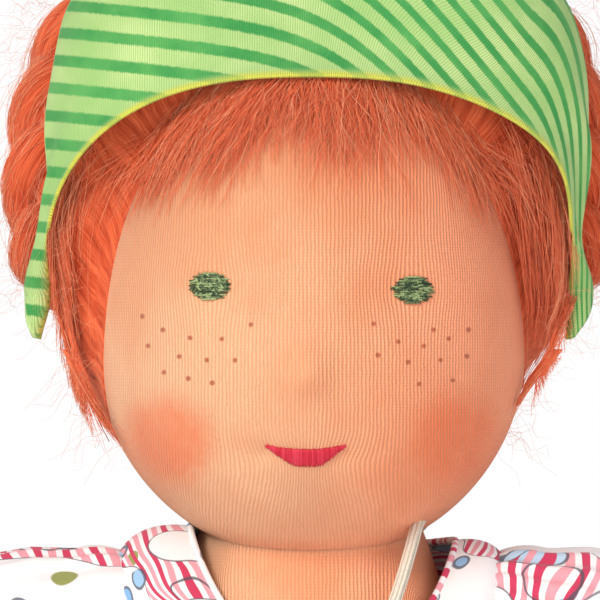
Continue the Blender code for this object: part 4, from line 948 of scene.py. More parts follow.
@dataclass
class Kerchief:
    """A right-angled triangle of jersey: its long edge over the forehead, its point at the back."""

    chin: float = 260 * MM
    leg: float = 147 * MM
    half_width: float = 58 * MM
    tail_rise: float = 55 * MM
    setback: float = -5 * MM
    front_reach: float = 55 * MM
    top_reach: float = 79.3 * MM
    back_reach: float = 59 * MM
    front_angle: float = math.radians(-32)
    front_square: float = 2.5
    top_square: float = 4.2
    tip_share: float = 0.985
    thickness: float = 0.7 * MM
    curl: float = 2.3 * MM
    curl_turn: float = 4.4
    blunt: float = 2.0 * MM
    columns: int = 220
    rows: int = 110

    @property
    def half_long(self) -> float:
        """Half of the long edge."""
        return self.leg / math.sqrt(2)

    def reach(self, angle: Array) -> Array:
        """How far the cloth lies from the line through its tails, at angles back from upright."""
        front = np.sin(np.pi / 2 * np.clip(angle / self.front_angle, 0.0, 1.0)) ** 2
        rear = np.sin(np.clip(angle, 0.0, np.pi / 2)) ** 2
        return (self.top_reach + (self.front_reach - self.top_reach) * front
                + (self.back_reach - self.top_reach) * rear)

    def middle_angle(self, back: Array) -> Array:
        """The angle of the row that lies a distance back from the front edge."""
        angles = np.linspace(self.front_angle, math.pi * 0.95, 900)
        reach = self.reach(angles)
        line = np.stack([np.sin(angles) * reach, np.cos(angles) * reach], axis=1)
        return np.interp(back, way_along(line), angles)

    def row(self, angle: float, distances: Array) -> Array:
        """Points of one row, given distances along it from the middle: out, across and drop."""
        front = math.sin(math.pi / 2 * min(1.0, max(0.0, angle / self.front_angle))) ** 2
        square = self.top_square + (self.front_square - self.top_square) * front
        reach = float(self.reach(np.array([angle]))[0])
        turn = np.linspace(0.0, math.pi / 2, 400)
        across = self.half_width * np.sin(turn) ** (2 / square)
        out = reach * np.clip(np.cos(turn), 0.0, 1.0) ** (2 / square)
        travelled = way_along(np.stack([across, out], axis=1))
        on_arch = np.minimum(distances, travelled[-1])
        drop = distances - on_arch
        return xyz(np.interp(on_arch, travelled, out), np.interp(on_arch, travelled, across), drop)

    def place(self, u: Array, v: Array) -> Array:
        """Points of the cloth: u runs from tail to tail and v from the front edge to the point."""
        points = np.zeros((len(u), 3))
        side = 2 * u - 1
        for level in np.unique(v):
            chosen = v == level
            back = self.half_long * self.tip_share * level ** 1.25
            angle = float(self.middle_angle(np.array([back]))[0])
            away = np.abs(side[chosen]) * (self.half_long - max(back, self.blunt))
            out, across, drop = self.row(angle, away).T
            near = np.exp(-((out / (13 * MM)) ** 2))
            turn = self.curl_turn * (1 - math.exp(-back / (7 * MM)))
            fold = 1.0 + 0.25 * np.sin(out / (7 * MM) + 1.3)
            curl_x = self.curl * (1 - math.cos(turn)) * fold
            curl_y = -self.curl * math.sin(turn) * fold
            ripple = (0.9 * MM * np.sin(back / (3.1 * MM) + side[chosen] * 2.0)
                      * np.exp(-((out - 26 * MM) / (18 * MM)) ** 2) * smooth_ramp(back, 2 * MM, 9 * MM))
            lean = smooth_ramp(drop, 0.0, 12 * MM) * np.where(side[chosen] > 0, -0.6, 2.4) * MM
            y = self.setback + np.sin(angle) * out + near * curl_y
            z = self.chin + self.tail_rise + np.cos(angle) * out - drop
            bulge = np.where(side[chosen] > 0, smooth_ramp(across, 25 * MM, self.half_width)
                             * (4.2 * MM * smooth_ramp(z - self.chin, 66 * MM, 92 * MM) - 0.8 * MM), 0.0)
            x = across + near * (curl_x - 2.2 * MM) + ripple + lean + bulge
            points[chosen] = xyz(np.sign(side[chosen]) * x, y + MIDDLE_Y, z)
        return points

    def flat(self, u: Array, v: Array) -> tuple[Array, Array]:
        """The flat place: along the long edge, and back from it."""
        back = self.half_long * self.tip_share * v ** 1.25
        return (2 * u - 1) * (self.half_long - np.maximum(back, self.blunt)), back

    def knit_places(self, u: Array, v: Array) -> tuple[Array, Array]:
        """Where the worn cloth's stripes and ribs lie.

        Pulled tight over the forehead, the jersey's slanting stripes run level on the doll's right and turn
        steep towards its left tail. Behind the crown they lie as cut.

        Args:
            u: share of the way from tail to tail.
            v: share of the way from the front edge to the point.

        Returns:
            The place across the stripes and the place across the ribs, in metres.
        """
        points = self.place(u, v)
        x, deep, z = points[:, 0], points[:, 1] - MIDDLE_Y, points[:, 2]
        period = KerchiefFinish().period
        steep = 8.6 * MM
        turned = steep * np.logaddexp(0.0, (x - 7.7 * MM) / steep)
        falls = 1 - smooth_ramp(x, 45 * MM, 64 * MM)
        front = (-0.7 - (x + self.half_width) / (54 * MM) - turned / (5.2 * MM)
                 + falls * (self.chin + 118.7 * MM - z) / period
                 - (1 - falls) * (deep - self.setback) / period)
        across, back = self.flat(u, v)
        cut = (self.half_long - across - back) / math.sqrt(2) / period - 9.7
        behind = smooth_ramp(deep, -5 * MM, 50 * MM)
        side = smooth_ramp(x, -10 * MM, 45 * MM)
        level = self.chin + 118 * MM
        beside = np.sign(x) * smooth_ramp(np.abs(x), 35 * MM, self.half_width)
        ribs = (1 - side) * x + side * (0.5 * x - 0.85 * (z - level)) + 0.8 * beside * (deep + 30 * MM)
        return (front * (1 - behind) + cut * behind) * period, ribs

    def build(self, finish: KerchiefFinish) -> None:
        """Lay the cloth over the hair."""
        piece = mapped_grid("kerchief_cloth", (self.columns, self.rows), self.place, self.flat)
        shares = np.meshgrid(np.linspace(0, 1, self.columns + 1), np.linspace(0, 1, self.rows + 1))
        for name, values in zip(("StripePlace", "RibPlace"), self.knit_places(*(s.ravel() for s in shares))):
            keep_values(piece, name, values)
        with editing(piece):
            bpy.ops.mesh.select_all(action="SELECT")
            bpy.ops.mesh.normals_make_consistent(inside=False)
        give_thickness(piece, self.thickness)
        finish_piece(piece, finish.material(self.half_long), "kerchief", ["kerchief"])


# Hair
@dataclass(frozen=True)
class MohairFinish:
    """Brushed orange red mohair, with painted shade darkest deep in the hair and painted light, bright and
    pinkish, at its loose fibres.
    """

    dark: Triple = (0.25, 0.022, 0.006)
    deep: Triple = (0.60, 0.075, 0.022)
    middle: Triple = (0.93, 0.185, 0.068)
    light: Triple = (0.98, 0.43, 0.24)

    def colour(self, n: Nodes, share: object) -> Socket:
        """From dark to light over a share of 0 to 1."""
        base = n.mix(n.ramp(share, 0.0, 0.28), self.dark, self.deep)
        base = n.mix(n.ramp(share, 0.2, 0.6), base, self.middle)
        return n.mix(n.ramp(share, 0.68, 1.0), base, self.light)

    def strands(self) -> Material:
        """Loose fibres, each shaded by its attribute Shade."""
        made, n, shader = new_material("mohair_fibres", 0.55, 0.35, (1.0, 0.62, 0.42))
        shade = n.attribute("Shade")
        _, along, _ = n.split(n.cloth_place())
        share = n.times_add(along, 0.14, shade)
        n.dress(shader, self.colour(n, share))
        return made

    def fleece(self) -> Material:
        """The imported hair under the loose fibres, streaked along its combing."""
        made, n, shader = new_material("mohair_fleece", 0.8, 0.5, (1.0, 0.5, 0.3))
        across, along, _ = n.split(n.cloth_place())
        bend = n.noise(n.join(n.times(across, 60.0), n.times(along, 60.0)), 1.0, 2.0)
        moved = n.times_add(bend, 0.006, across)
        coarse = n.noise(n.join(n.times(moved, 700.0), n.times(along, 50.0)), 1.0, 3.0)
        fine = n.noise(n.join(n.times(moved, 3600.0), n.times(along, 170.0)), 1.0, 3.0)
        share = n.times_add(n.minus(coarse, 0.5), 0.9, 0.36)
        share = n.times_add(n.minus(fine, 0.5), 0.8, share)
        n.dress(shader, self.colour(n, share))
        height = n.times_add(fine, 0.4, coarse)
        n.feed(shader.inputs["Normal"], n.bump(height, 0.8, 0.8 * MM))
        return made


@dataclass
class Hair:
    """The wig: a fleece cap, a thin fringe, locks beside the face, two braids and loose fibres."""

    form: HeadForm
    side: float = 8.6 * MM
    top: float = 10.5 * MM
    gather: float = 10 * MM
    lift: float = 1.0 * MM
    hairline: float = 100 * MM
    nape: float = math.radians(50)
    side_drop: float = math.radians(23)
    braid_radius: float = 8.2 * MM
    braid_pitch: float = 48 * MM
    lock_radius: float = 4.9 * MM
    lock_reach: float = 4.4 * MM
    # Route of a braid: shares of the head's half width, half depth and height
    braid_route: tuple[Triple, ...] = (
        (0.98, 0.40, 1.00), (1.14, 0.44, 0.88), (1.23, 0.42, 0.77), (1.25, 0.42, 0.66),
        (1.225, 0.46, 0.54), (1.13, 0.70, 0.50), (1.07, 0.92, 0.60), (0.98, 1.02, 0.74))

    def tilt_and_rim(self) -> tuple[float, float]:
        """The cap's axis and half angle, from the hairline's height and the nape."""
        front = math.asin((self.hairline - self.form.cheek_rise) / self.form.upper)
        opening = front + math.pi / 2 + self.nape
        return opening / 2 - front - math.pi / 2, opening / 2

    def grow(self, direction: Array) -> Array:
        """Thickness of the hair over the head."""
        x, y, z = np.moveaxis(direction, -1, 0)
        up = np.maximum(0.0, z)
        forward = np.maximum(0.0, -y) * up
        crown = up ** 2 * np.maximum(0.0, 1 - 2 * forward)
        rear = np.maximum(0.0, 1 - 2 * np.maximum(0.0, y))
        beside = (2 * x * up) ** 2 * rear
        thick = self.side + (self.top - self.side) * crown + self.gather * beside
        left = np.interp(z, (-0.45, -0.12, 0.12, 0.26), (0.10, 0.34, 0.74, 1.0))
        right = np.interp(z, (-0.24, -0.12, 0.12), (0.02, 0.20, 1.0))
        low = 1 - np.where(x < 0, left, right)
        near = np.where(x < 0, 0.35, 0.15)
        return thick * (1 - forward) * (1 - low * smooth_ramp((np.abs(x) - near) / 0.45, 0.0, 1.0))

    def cap_direction(self, u: Array, v: Array) -> Array:
        """Directions of the cap: u runs round it and v from its rim to its pole."""
        tilt, rim = self.tilt_and_rim()
        around = TURN * u + math.pi / 2
        beside = np.abs(np.cos(around)) ** 1.5 * smooth_ramp(np.sin(around), -0.75, 0.15)
        start = rim - self.side_drop * beside * np.where(np.cos(around) > 0, 0.42, 1.0)
        polar = start + (math.pi - start) * v
        return self.form.direction(polar, around, tilt)

    def build_cap(self, fleece: Material) -> None:
        """The combed fleece over the head."""

        def place(u: Array, v: Array) -> Array:
            direction = self.cap_direction(u, v)
            around = TURN * u
            rim = smooth_ramp(v, 0.0, 0.16)
            locks = 0.6 * MM * np.sin(around * 23 + 3 * np.sin(around * 5)) * smooth_ramp(v, 0.0, 0.2)
            thick = 0.25 * MM + self.grow(direction) * rim + locks
            return self.form.point(direction, thick)

        piece = mapped_grid("hair_fleece", (150, 90), place, (0.30, 0.14), FINE_MERGE, 0.7 * MM)
        finish_piece(piece, fleece, "torso", ["hair_cap"])

    def comb(self, starts: Array, flow: Callable[[Array, int], Array], lengths: Array, lifts: Array,
             steps: int) -> Array:
        """Strands that follow the head.

        Args:
            starts: unit directions of the roots.
            flow: gives each strand's way, as 3-D vectors, at its present point and step.
            lengths: each strand's length in metres.
            lifts: height over the head at each step, shaped (strands, steps).
            steps: points of each strand.

        Returns:
            Points shaped (strands, steps, 3).
        """
        form = self.form
        direction = starts.copy()
        points = []
        for step in range(steps):
            here = form.point(direction, lifts[:, step])
            points.append(here)
            moved = here - form.centre + unit(flow(here, step)) * (lengths / (steps - 1))[:, None]
            direction = unit(moved / form.spans(moved[:, 2], lifts[:, step]))
        return np.stack(points, axis=1)

    def add_fibres(self, name: str, lines: Array, draw: np.random.Generator, thin: tuple[float, float],
                   shade: tuple[float, float], fibres: Material, raised: Array | float = 0.0,
                   taper: Sequence[float] = (1.0, 0.4), replaced: Sequence[str] = ()) -> None:
        """Make a piece of fine tapered fibres.

        Args:
            name: the new piece's name.
            lines: the fibres' points, shaped (fibres, points on each, 3).
            draw: gives the thicknesses and then the shades.
            thin: least and greatest half thickness in millimetres.
            shade: the shades' mean and spread.
            fibres: the fibres' material.
            raised: what is added to the shades: painted light on the fibres that stand further out.
            taper: shares of the thickness at even places along a fibre.
            replaced: the nodes that the piece stands for.
        """
        count, steps = lines.shape[:2]
        tapered = np.interp(np.linspace(0, 1, steps), np.linspace(0, 1, len(taper)), taper)
        radii = tapered * draw.uniform(*thin, count)[:, None] * MM
        shades = np.clip(draw.normal(*shade, count) + raised, 0.0, 1.0)
        finish_piece(tubes_mesh(name, lines, radii, 3, shades), fibres, "torso", replaced)

    def fringe_strands(self, count: int, seed: int, steps: int, long: float, high: float,
                       loose: float) -> tuple[Array, Array]:
        """Fibres that come out from under the kerchief's front edge, over the forehead.

        Args:
            count: number of fibres.
            seed: seed of the random draws.
            steps: points of each fibre.
            long: share of the fringe's full reach that the longest fibres have.
            high: how far the upper fibres lie off the skin.
            loose: how far each fibre strays from its lock, 0 for close locks and 1 for single fibres.

        Returns:
            The fibres' points, and how high each lies, from 0 to 1.
        """
        draw = np.random.default_rng(seed)
        cloth = Kerchief()
        share = draw.uniform(-1.0, 0.79, count)
        away = np.abs(share) * 80 * MM
        rows = cloth.row(cloth.front_angle, away)
        x = np.sign(share) * rows[:, 1] * 0.955
        rise = cloth.tail_rise + math.cos(cloth.front_angle) * rows[:, 0] - rows[:, 2]
        rise = rise + draw.uniform(0.0, 3.5, count) * MM
        dome = np.sqrt(np.clip(1 - (x / self.form.half_width) ** 2, 0.0, 1.0)) * 0.985
        limit = np.minimum(rise, self.form.cheek_rise + self.form.upper * dome)
        starts = self.form.front_direction(np.clip(x, -45.2 * MM, 45.2 * MM), limit)
        clump = np.round(share * 22 + draw.uniform(-0.4, 0.4, count)).astype(int) + 40
        clumps = np.random.default_rng(3)
        clump_turn, clump_long = clumps.normal(0.0, 0.20, 90)[clump], clumps.uniform(0.62, 1.20, 90)[clump]
        gathered = (1 - loose) * ((clump - 40) / 22 - share) * 70 * MM
        stations = np.array([-1.0, -0.75, -0.45, -0.2, 0.05, 0.3, 0.5, 0.75, 1.0])
        turn = np.interp(share, stations, np.radians([-24, -50, -56, -34, -4, 26, 46, 50, 30]))
        reach = np.interp(share, stations, np.array([18, 30, 37, 39, 37, 38, 37, 16, 5])) * MM
        turn = turn + clump_turn + draw.normal(0.0, 0.05 + 0.17 * loose, count) + gathered / reach
        lengths = reach * long * clump_long * draw.uniform(0.62 - 0.30 * loose, 1.05, count)
        curl = draw.normal(0.0, 0.10 + 0.38 * loose, count)
        waver = draw.uniform(0, TURN, count)

        def flow(here: Array, step: int) -> Array:
            bend = turn + curl * step / steps + 0.28 * np.sin(waver + step * 1.3)
            return xyz(np.sin(bend), -0.25, -np.cos(bend))

        proud = draw.uniform(0.1, 1.0, count)
        grown = np.linspace(0, 1, steps)[None, :]
        lifts = high * proud[:, None] * (1.0 - 0.75 * grown) + 0.35 * MM
        lifts = lifts + (draw.random((count, 1)) < 0.12) * grown ** 2 * 3.5 * MM
        lines = self.comb(starts, flow, lengths, lifts, steps)
        beside = smooth_ramp(np.abs(lines[..., 0]), 35 * MM, 46 * MM)
        return self.push_out(lines, self.grow_at(lines) * beside), proud

    def build_fringe(self, fibres: Material) -> None:
        """The fringe: soft locks close to the skin and fine fibres over them."""
        lines, _ = self.fringe_strands(3400, 12, 8, 0.74, 1.4 * MM, 0.25)
        draw = np.random.default_rng(13)
        self.add_fibres("hair_fringe_locks", lines, draw, (0.13, 0.27), (0.57, 0.12), fibres,
                        taper=(1.0, 0.7, 0.12), replaced=["hair_fringe"])
        for name, seed, loose in (("hair_fringe_fibres", 11, 0.9), ("hair_fringe_haze", 17, 1.0)):
            lines, proud = self.fringe_strands(4400, seed, 7, 0.98, 3.2 * MM, loose)
            # Painted light: fibres that lie higher off the skin are lighter
            self.add_fibres(name, lines, draw, (0.055, 0.115), (0.56, 0.18), fibres, 0.26 * (proud - 0.5))

    def build_side_locks(self, side: Side, fibres: Material) -> None:
        """Fibres beside the face, combed down and back from the temple."""
        draw = np.random.default_rng(40 + side.value)
        count, steps = 2400, 8
        up = draw.uniform(0.0, 1.0, count) ** 0.9
        rise = (50 + 38 * up) * MM
        beyond = draw.uniform(-0.22 - 0.08 * side.value, 0.85, count)
        around = beyond + 0.10 - 0.34 * up
        z = (rise - self.form.cheek_rise) / self.form.upper
        flat = np.sqrt(1 - np.clip(z, 0, 0.98) ** 2)
        starts = xyz(side.value * np.cos(around) * flat, np.sin(around) * flat, z)
        longest = draw.uniform(9, 34, count) * MM
        ends = draw.uniform(35 + 5 * side.value, 50 + 2 * side.value, count) * MM
        lengths = np.minimum(longest, rise - ends)
        turn = draw.normal(0.0, 0.16, count)
        waver = draw.uniform(0, TURN, count)

        def flow(here: Array, step: int) -> Array:
            lean = turn + 0.20 * np.sin(waver + step * 1.1)
            low = smooth_ramp(here[:, 2], self.form.chin + 52 * MM, self.form.chin + 22 * MM)
            return xyz(0.1 * side.value, 0.16 + lean + 0.9 * low, -1.0 + 0.25 * low)

        proud = draw.uniform(0.15, 1.12, count)[:, None]
        lines = self.comb(starts, flow, lengths, np.full((count, steps), 2 * MM), steps)
        lines = self.push_out(lines, self.grow_at(lines) * proud + 0.4 * MM - 2 * MM)
        # Painted light and shade: the doll's right locks, towards the key lamp, lighter than its left ones,
        # and fibres lighter the further out they stand
        self.add_fibres(f"side_lock_{side.label}", lines, draw, (0.045, 0.09),
                        (0.55 - 0.17 * side.value, 0.20), fibres, 0.3 * (proud[:, 0] - 0.6))

    def build_combed(self, fibres: Material) -> None:
        """Fibres over the crown and the back of the head, combed from the parting to the braids."""
        draw = np.random.default_rng(5)
        count, steps = 3600, 9
        u, v = draw.random(count), draw.uniform(0.03, 0.98, count)
        starts = self.cap_direction(u, v)
        sign = np.where(starts[:, 0] >= 0, 1.0, -1.0)
        across, deep, high = self.braid_route[0]
        target = xyz(sign * (across * self.form.half_width - 4 * MM),
                     deep * self.form.half_depth + MIDDLE_Y,
                     self.form.chin + high * self.form.height - 3 * MM)
        low = smooth_ramp(starts[:, 2], 0.15, -0.5)[:, None]
        lengths = draw.uniform(12, 34, count) * MM
        lengths = np.minimum(lengths, np.linalg.norm(self.form.point(starts, 6 * MM) - target, axis=1) * 0.9)
        turn = draw.normal(0.0, 0.14, (count, 3))

        def flow(here: Array, step: int) -> Array:
            return unit(target - here) * (1 - 0.35 * low) + turn * (0.4 + 0.6 * math.sin(step))

        lifts = np.repeat(self.grow(starts)[:, None], steps, axis=1)
        lines = self.comb(starts, flow, lengths, lifts, steps)
        covered = smooth_ramp(-unit(lines - self.form.centre)[..., 1], 0.05, 0.35)
        proud = draw.uniform(0.7, 1.9, count)[:, None] * MM * (1 - 0.95 * covered) - 1.4 * MM * covered
        lines = self.push_out(lines, self.grow_at(lines) - lifts + proud)
        self.add_fibres("hair_combed_fibres", lines, draw, (0.06, 0.11), (0.50, 0.19), fibres)

    def grow_at(self, points: Array) -> Array:
        """Thickness of the hair at any points near the head."""
        away = points - self.form.centre
        return self.grow(unit(away / self.form.spans(away[..., 2])))

    def push_out(self, points: Array, by: Array) -> Array:
        """Points moved straight away from the head's centre, by distances in metres."""
        away = points - self.form.centre
        return points + away * (by / np.linalg.norm(away, axis=-1))[..., None]

    def braid_line(self, side: Side, steps: int) -> Array:
        """Evenly spaced points along a braid's middle."""
        form = self.form
        points = np.array([(side.value * a * form.half_width, d * form.half_depth + MIDDLE_Y,
                            form.chin + h * form.height) for a, d, h in self.braid_route])
        padded = np.vstack([2 * points[0] - points[1], points, 2 * points[-1] - points[-2]])
        last = len(points)
        route = spline_rows(padded, np.linspace(1, last, 24 * (last - 1) + 1) / (last + 1))
        travelled = way_along(route)
        even = np.linspace(0.0, travelled[-1], steps)
        return np.stack([np.interp(even, travelled, route[:, axis]) for axis in range(3)], axis=1)

    def braid_locks(self, side: Side, steps: int) -> tuple[Array, float]:
        """The three locks of a braid.

        Args:
            side: which braid.
            steps: points along it.

        Returns:
            The locks' middles (3, steps, 3) and the braid's length.
        """
        line = self.braid_line(side, steps)
        along = unit(np.gradient(line, axis=0))
        beside = np.array([side.value, 0.0, 0.0])
        outward = unit(beside - along * (along @ beside)[:, None])
        forward = np.cross(along, outward) * side.value
        length = float(way_along(line)[-1])
        travelled = np.linspace(0.0, length, steps)
        locks = []
        for lock in range(3):
            phase = TURN * (travelled / self.braid_pitch + lock / 3)
            wide = self.lock_reach * np.sin(phase)
            deep = 0.62 * self.lock_reach * np.sin(2 * phase)
            locks.append(line + outward * wide[:, None] + forward * deep[:, None])
        return np.array(locks), length

    def build_braid(self, side: Side, fleece: Material, fibres: Material) -> None:
        """A plait of three locks, and then its loose fibres."""
        steps, sides = 150, 18
        locks, length = self.braid_locks(side, steps)
        ends = np.minimum(np.linspace(0, 1, steps) / 0.03, np.linspace(1, 0, steps) / 0.05)
        taper = np.sqrt(np.clip(ends, 0.02, 1.0))
        ripple = 1.0 + 0.05 * np.sin(np.linspace(0, length / (5 * MM), steps))
        base = tubes_mesh(f"braid_fleece_{side.label}", locks,
                          np.tile(self.lock_radius * taper * ripple, (3, 1)), sides)
        layer = base.data.uv_layers["Cloth"].data
        lock, along = read(layer, "uv", 2).T
        corners = read(base.data.loops, "vertex_index", 1, np.int32)
        turn = np.abs((corners % sides) / sides - 0.5) * 0.03
        layer.foreach_set("uv", np.stack([lock * 0.2 + turn + along * 0.02, along * length], axis=1).ravel())
        finish_piece(base, fleece, "torso", [f"braid_{side.label}"])
        self.build_braid_fibres(side, locks, taper, length, fibres)

    def build_braid_fibres(self, side: Side, locks: Array, taper: Array, length: float,
                           fibres: Material) -> None:
        """Fibres that run along a braid's locks and stand a little proud of them.

        Args:
            side: which braid.
            locks: the locks' middles, shaped (3, steps, 3).
            taper: share of the full thickness at each step.
            length: the braid's length in metres.
            fibres: the fibres' material.
        """
        draw = np.random.default_rng(60 + side.value)
        count = 2300
        grown = np.linspace(0, 1, 9)
        lock = draw.integers(0, 3, count)[:, None]
        reach = draw.uniform(9, 26, count) * MM / length
        start = draw.uniform(0.0, 0.98, count) * (1 - reach)
        turn = draw.uniform(0, TURN, count)
        twist = draw.normal(0.5, 0.7, count)
        proud = draw.gamma(1.6, 0.32, count) * MM
        loose = draw.random(count) < 0.07
        last = len(taper) - 1
        place = (start[:, None] + reach[:, None] * grown) * last
        low = np.floor(place).astype(int)
        part = (place - low)[..., None]
        middle = locks[lock, low] * (1 - part) + locks[lock, np.minimum(low + 1, last)] * part
        way = unit(np.gradient(middle, axis=1))
        first = unit(np.cross(way, np.array([0.2, 0.9, 0.4])))
        second = np.cross(way, first)
        angle = (turn[:, None] + twist[:, None] * grown)[..., None]
        stray = loose[:, None] * grown ** 2 * draw.uniform(1.5, 7, count)[:, None] * MM
        out = self.lock_radius * taper[low] - 0.15 * MM + proud[:, None] * np.sin(np.pi * grown) + stray
        lines = middle + (first * np.cos(angle) + second * np.sin(angle)) * out[..., None]
        # Painted light and shade: the doll's right braid, towards the key lamp, lighter than its left one
        self.add_fibres(f"braid_fibres_{side.label}", lines, draw, (0.05, 0.10),
                        (0.68 - 0.14 * side.value, 0.2), fibres)

    def build_loose(self, fibres: Material) -> None:
        """Fine curly fibres that stand off the wig beside the face and off the braids."""
        draw = np.random.default_rng(90)
        count, steps = 560, 16
        sign = draw.choice([-1.0, 1.0], count)
        on_braid = draw.random(count) < 0.55
        z = np.where(on_braid, draw.uniform(312, 385, count), draw.uniform(284, 330, count)) * MM
        up = (z - self.form.centre[2]) / np.where(z > self.form.centre[2], self.form.upper, self.form.lower)
        around = draw.uniform(-0.5, 0.9, count)
        flat = np.sqrt(np.clip(1 - np.clip(up, -0.99, 0.99) ** 2, 0, 1))
        direction = xyz(sign * np.cos(around) * flat, np.sin(around) * flat, up)
        start = self.form.point(direction, self.grow(direction) * 0.9)
        braid = xyz(sign * draw.uniform(52, 64, count) * MM, draw.uniform(10, 26, count) * MM + MIDDLE_Y, z)
        start = np.where(on_braid[:, None], braid, start)
        way = unit(xyz(sign * draw.uniform(0.2, 1.0, count), draw.uniform(-0.5, 0.3, count),
                       draw.uniform(-1.0, 0.7, count)))
        along = np.linspace(0, 1, steps)
        length = draw.uniform(5, 15, count)[:, None] * MM
        curl = draw.uniform(0.4, 1.5, count)[:, None] * MM * np.minimum(1.0, along * 3)
        phase = draw.uniform(0, TURN, count)[:, None] + along * draw.uniform(5, 15, count)[:, None]
        across = unit(np.cross(way, draw.normal(size=(count, 3))))
        other = np.cross(way, across)
        lines = (start[:, None, :] + way[:, None, :] * (length * along)[..., None]
                 + across[:, None, :] * (curl * np.cos(phase))[..., None]
                 + other[:, None, :] * (curl * np.sin(phase))[..., None])
        lines[..., 2] -= (along ** 2 * length) * 0.25
        radii = np.linspace(1.0, 0.5, steps) * draw.uniform(0.022, 0.04, count)[:, None] * MM
        # Painted light: the loose fibres get only light shades, as a lit halo
        piece = tubes_mesh("hair_loose_fibres", lines, radii, 3, draw.uniform(0.65, 1.0, count))
        finish_piece(piece, fibres, "torso")

    def build_tie(self, side: Side, material: Material) -> None:
        """A short end of the kerchief's jersey tied round the braid's end."""
        line = self.braid_line(side, 60)
        end, before = line[-1], line[-3]
        along = unit(end - before)
        first = unit(np.cross(along, [0.0, 0.0, 1.0]))
        second = np.cross(along, first)
        turns = np.linspace(0, TURN * 2, 60)
        ring = (end + along * (1.4 * MM) + np.outer(turns - turns[-1] / 2, along) * 0.09 * MM
                + (np.outer(np.cos(turns), first) + np.outer(np.sin(turns), second)) * 3.9 * MM)
        piece = tubes_mesh(f"hair_tie_band_{side.label}", ring[None], np.full((1, len(turns)), 1.2 * MM), 10)
        finish_piece(piece, material, "torso", [f"hair_tie_{side.label}"])

    def build(self, finish: MohairFinish, tie: Material) -> None:
        """All of the hair."""
        fibres, fleece = finish.strands(), finish.fleece()
        self.build_cap(fleece)
        self.build_fringe(fibres)
        self.build_combed(fibres)
        self.build_loose(fibres)
        for side in Side:
            self.build_side_locks(side, fibres)
            self.build_braid(side, fleece, fibres)
            self.build_tie(side, tie)


@dataclass
class Studio:
    """The camera, the soft lamps, the floor and the white surround."""

    distance: float = 2.0
    aim: Triple = (-2.4 * MM, 0.0, 314 * MM)
    frame_width: float = 129 * MM
    sensor: float = 36.0

    def build(self) -> None:
        """Set the stage round the doll."""
        scene = bpy.context.scene
        scene.view_settings.view_transform = "Standard"
        deselect_all()
        face_y = MIDDLE_Y - HEAD.half_depth
        bpy.ops.object.camera_add(location=(self.aim[0], face_y - self.distance, self.aim[2]),
                                  rotation=(math.pi / 2, 0, 0))
        camera = bpy.context.object
        camera.name = "camera"
        camera.data.sensor_width = self.sensor
        camera.data.lens = self.sensor * (self.distance + HEAD.half_depth) / self.frame_width
        camera.data.clip_end = 20
        scene.camera = camera
        self.lamp("key_lamp", (-0.75, -1.0, 0.95), 0.55, 12.9, (1.0, 0.96, 0.90))
        self.lamp("fill_lamp", (0.9, -1.1, 0.40), 0.9, 4.4, (1.0, 0.93, 0.88))
        self.lamp("low_lamp", (0.05, -1.2, 0.08), 0.7, 3.0, (1.0, 0.94, 0.88))
        self.build_surround()

    def lamp(self, name: str, place: Triple, size: float, power: float, colour: Triple) -> None:
        """A square soft lamp that faces the head."""
        deselect_all()
        bpy.ops.object.light_add(type="AREA", location=place)
        lamp = bpy.context.object
        lamp.name = name
        lamp.data.shape = "SQUARE"
        lamp.data.size = size
        lamp.data.energy = power
        lamp.data.color = colour
        towards = Vector((0.0, 0.0, 0.28)) - Vector(place)
        lamp.rotation_euler = towards.to_track_quat("-Z", "Y").to_euler()

    def build_surround(self) -> None:
        """White where the camera looks, a plain soft light elsewhere, and a pale floor."""
        world = bpy.data.worlds.new("white_room")
        bpy.context.scene.world = world
        world.use_nodes = True
        n = Nodes(world.node_tree)
        n.tree.nodes.clear()
        paths = n.add("ShaderNodeLightPath")
        chosen = n.add("ShaderNodeMixShader")
        for socket, colour, strength in ((1, (0.93, 0.95, 1.0, 1.0), 0.52), (2, (1.0, 1.0, 1.0, 1.0), 1.0)):
            light = n.add("ShaderNodeBackground")
            light.inputs["Color"].default_value = colour
            light.inputs["Strength"].default_value = strength
            n.feed(chosen.inputs[socket], light.outputs[0])
        seen = n.math("MAXIMUM", paths.outputs["Is Camera Ray"], paths.outputs["Is Glossy Ray"])
        seen = n.math("MAXIMUM", seen, paths.outputs["Is Transmission Ray"])
        n.feed(chosen.inputs[0], seen)
        n.feed(n.add("ShaderNodeOutputWorld").inputs[0], chosen.outputs[0])
        deselect_all()
        bpy.ops.mesh.primitive_plane_add(size=6, location=(0, 0, -0.2 * MM))
        floor = bpy.context.object
        floor.name = "floor"
        pale = bpy.data.materials.new("pale_floor")
        pale.use_nodes = True
        shader = pale.node_tree.nodes["Principled BSDF"]
        shader.inputs["Base Color"].default_value = (0.86, 0.86, 0.86, 1.0)
        shader.inputs["Roughness"].default_value = 0.9
        floor.data.materials.append(pale)


SKIN = SkinFinish()
# Painted glints: each thread's light colour
EYE_THREAD = ThreadFinish("eye_satin", (0.022, 0.050, 0.018), (0.36, 0.46, 0.20))
MOUTH_THREAD = ThreadFinish("mouth_satin", (0.56, 0.012, 0.035), (0.72, 0.045, 0.085), 0.5)


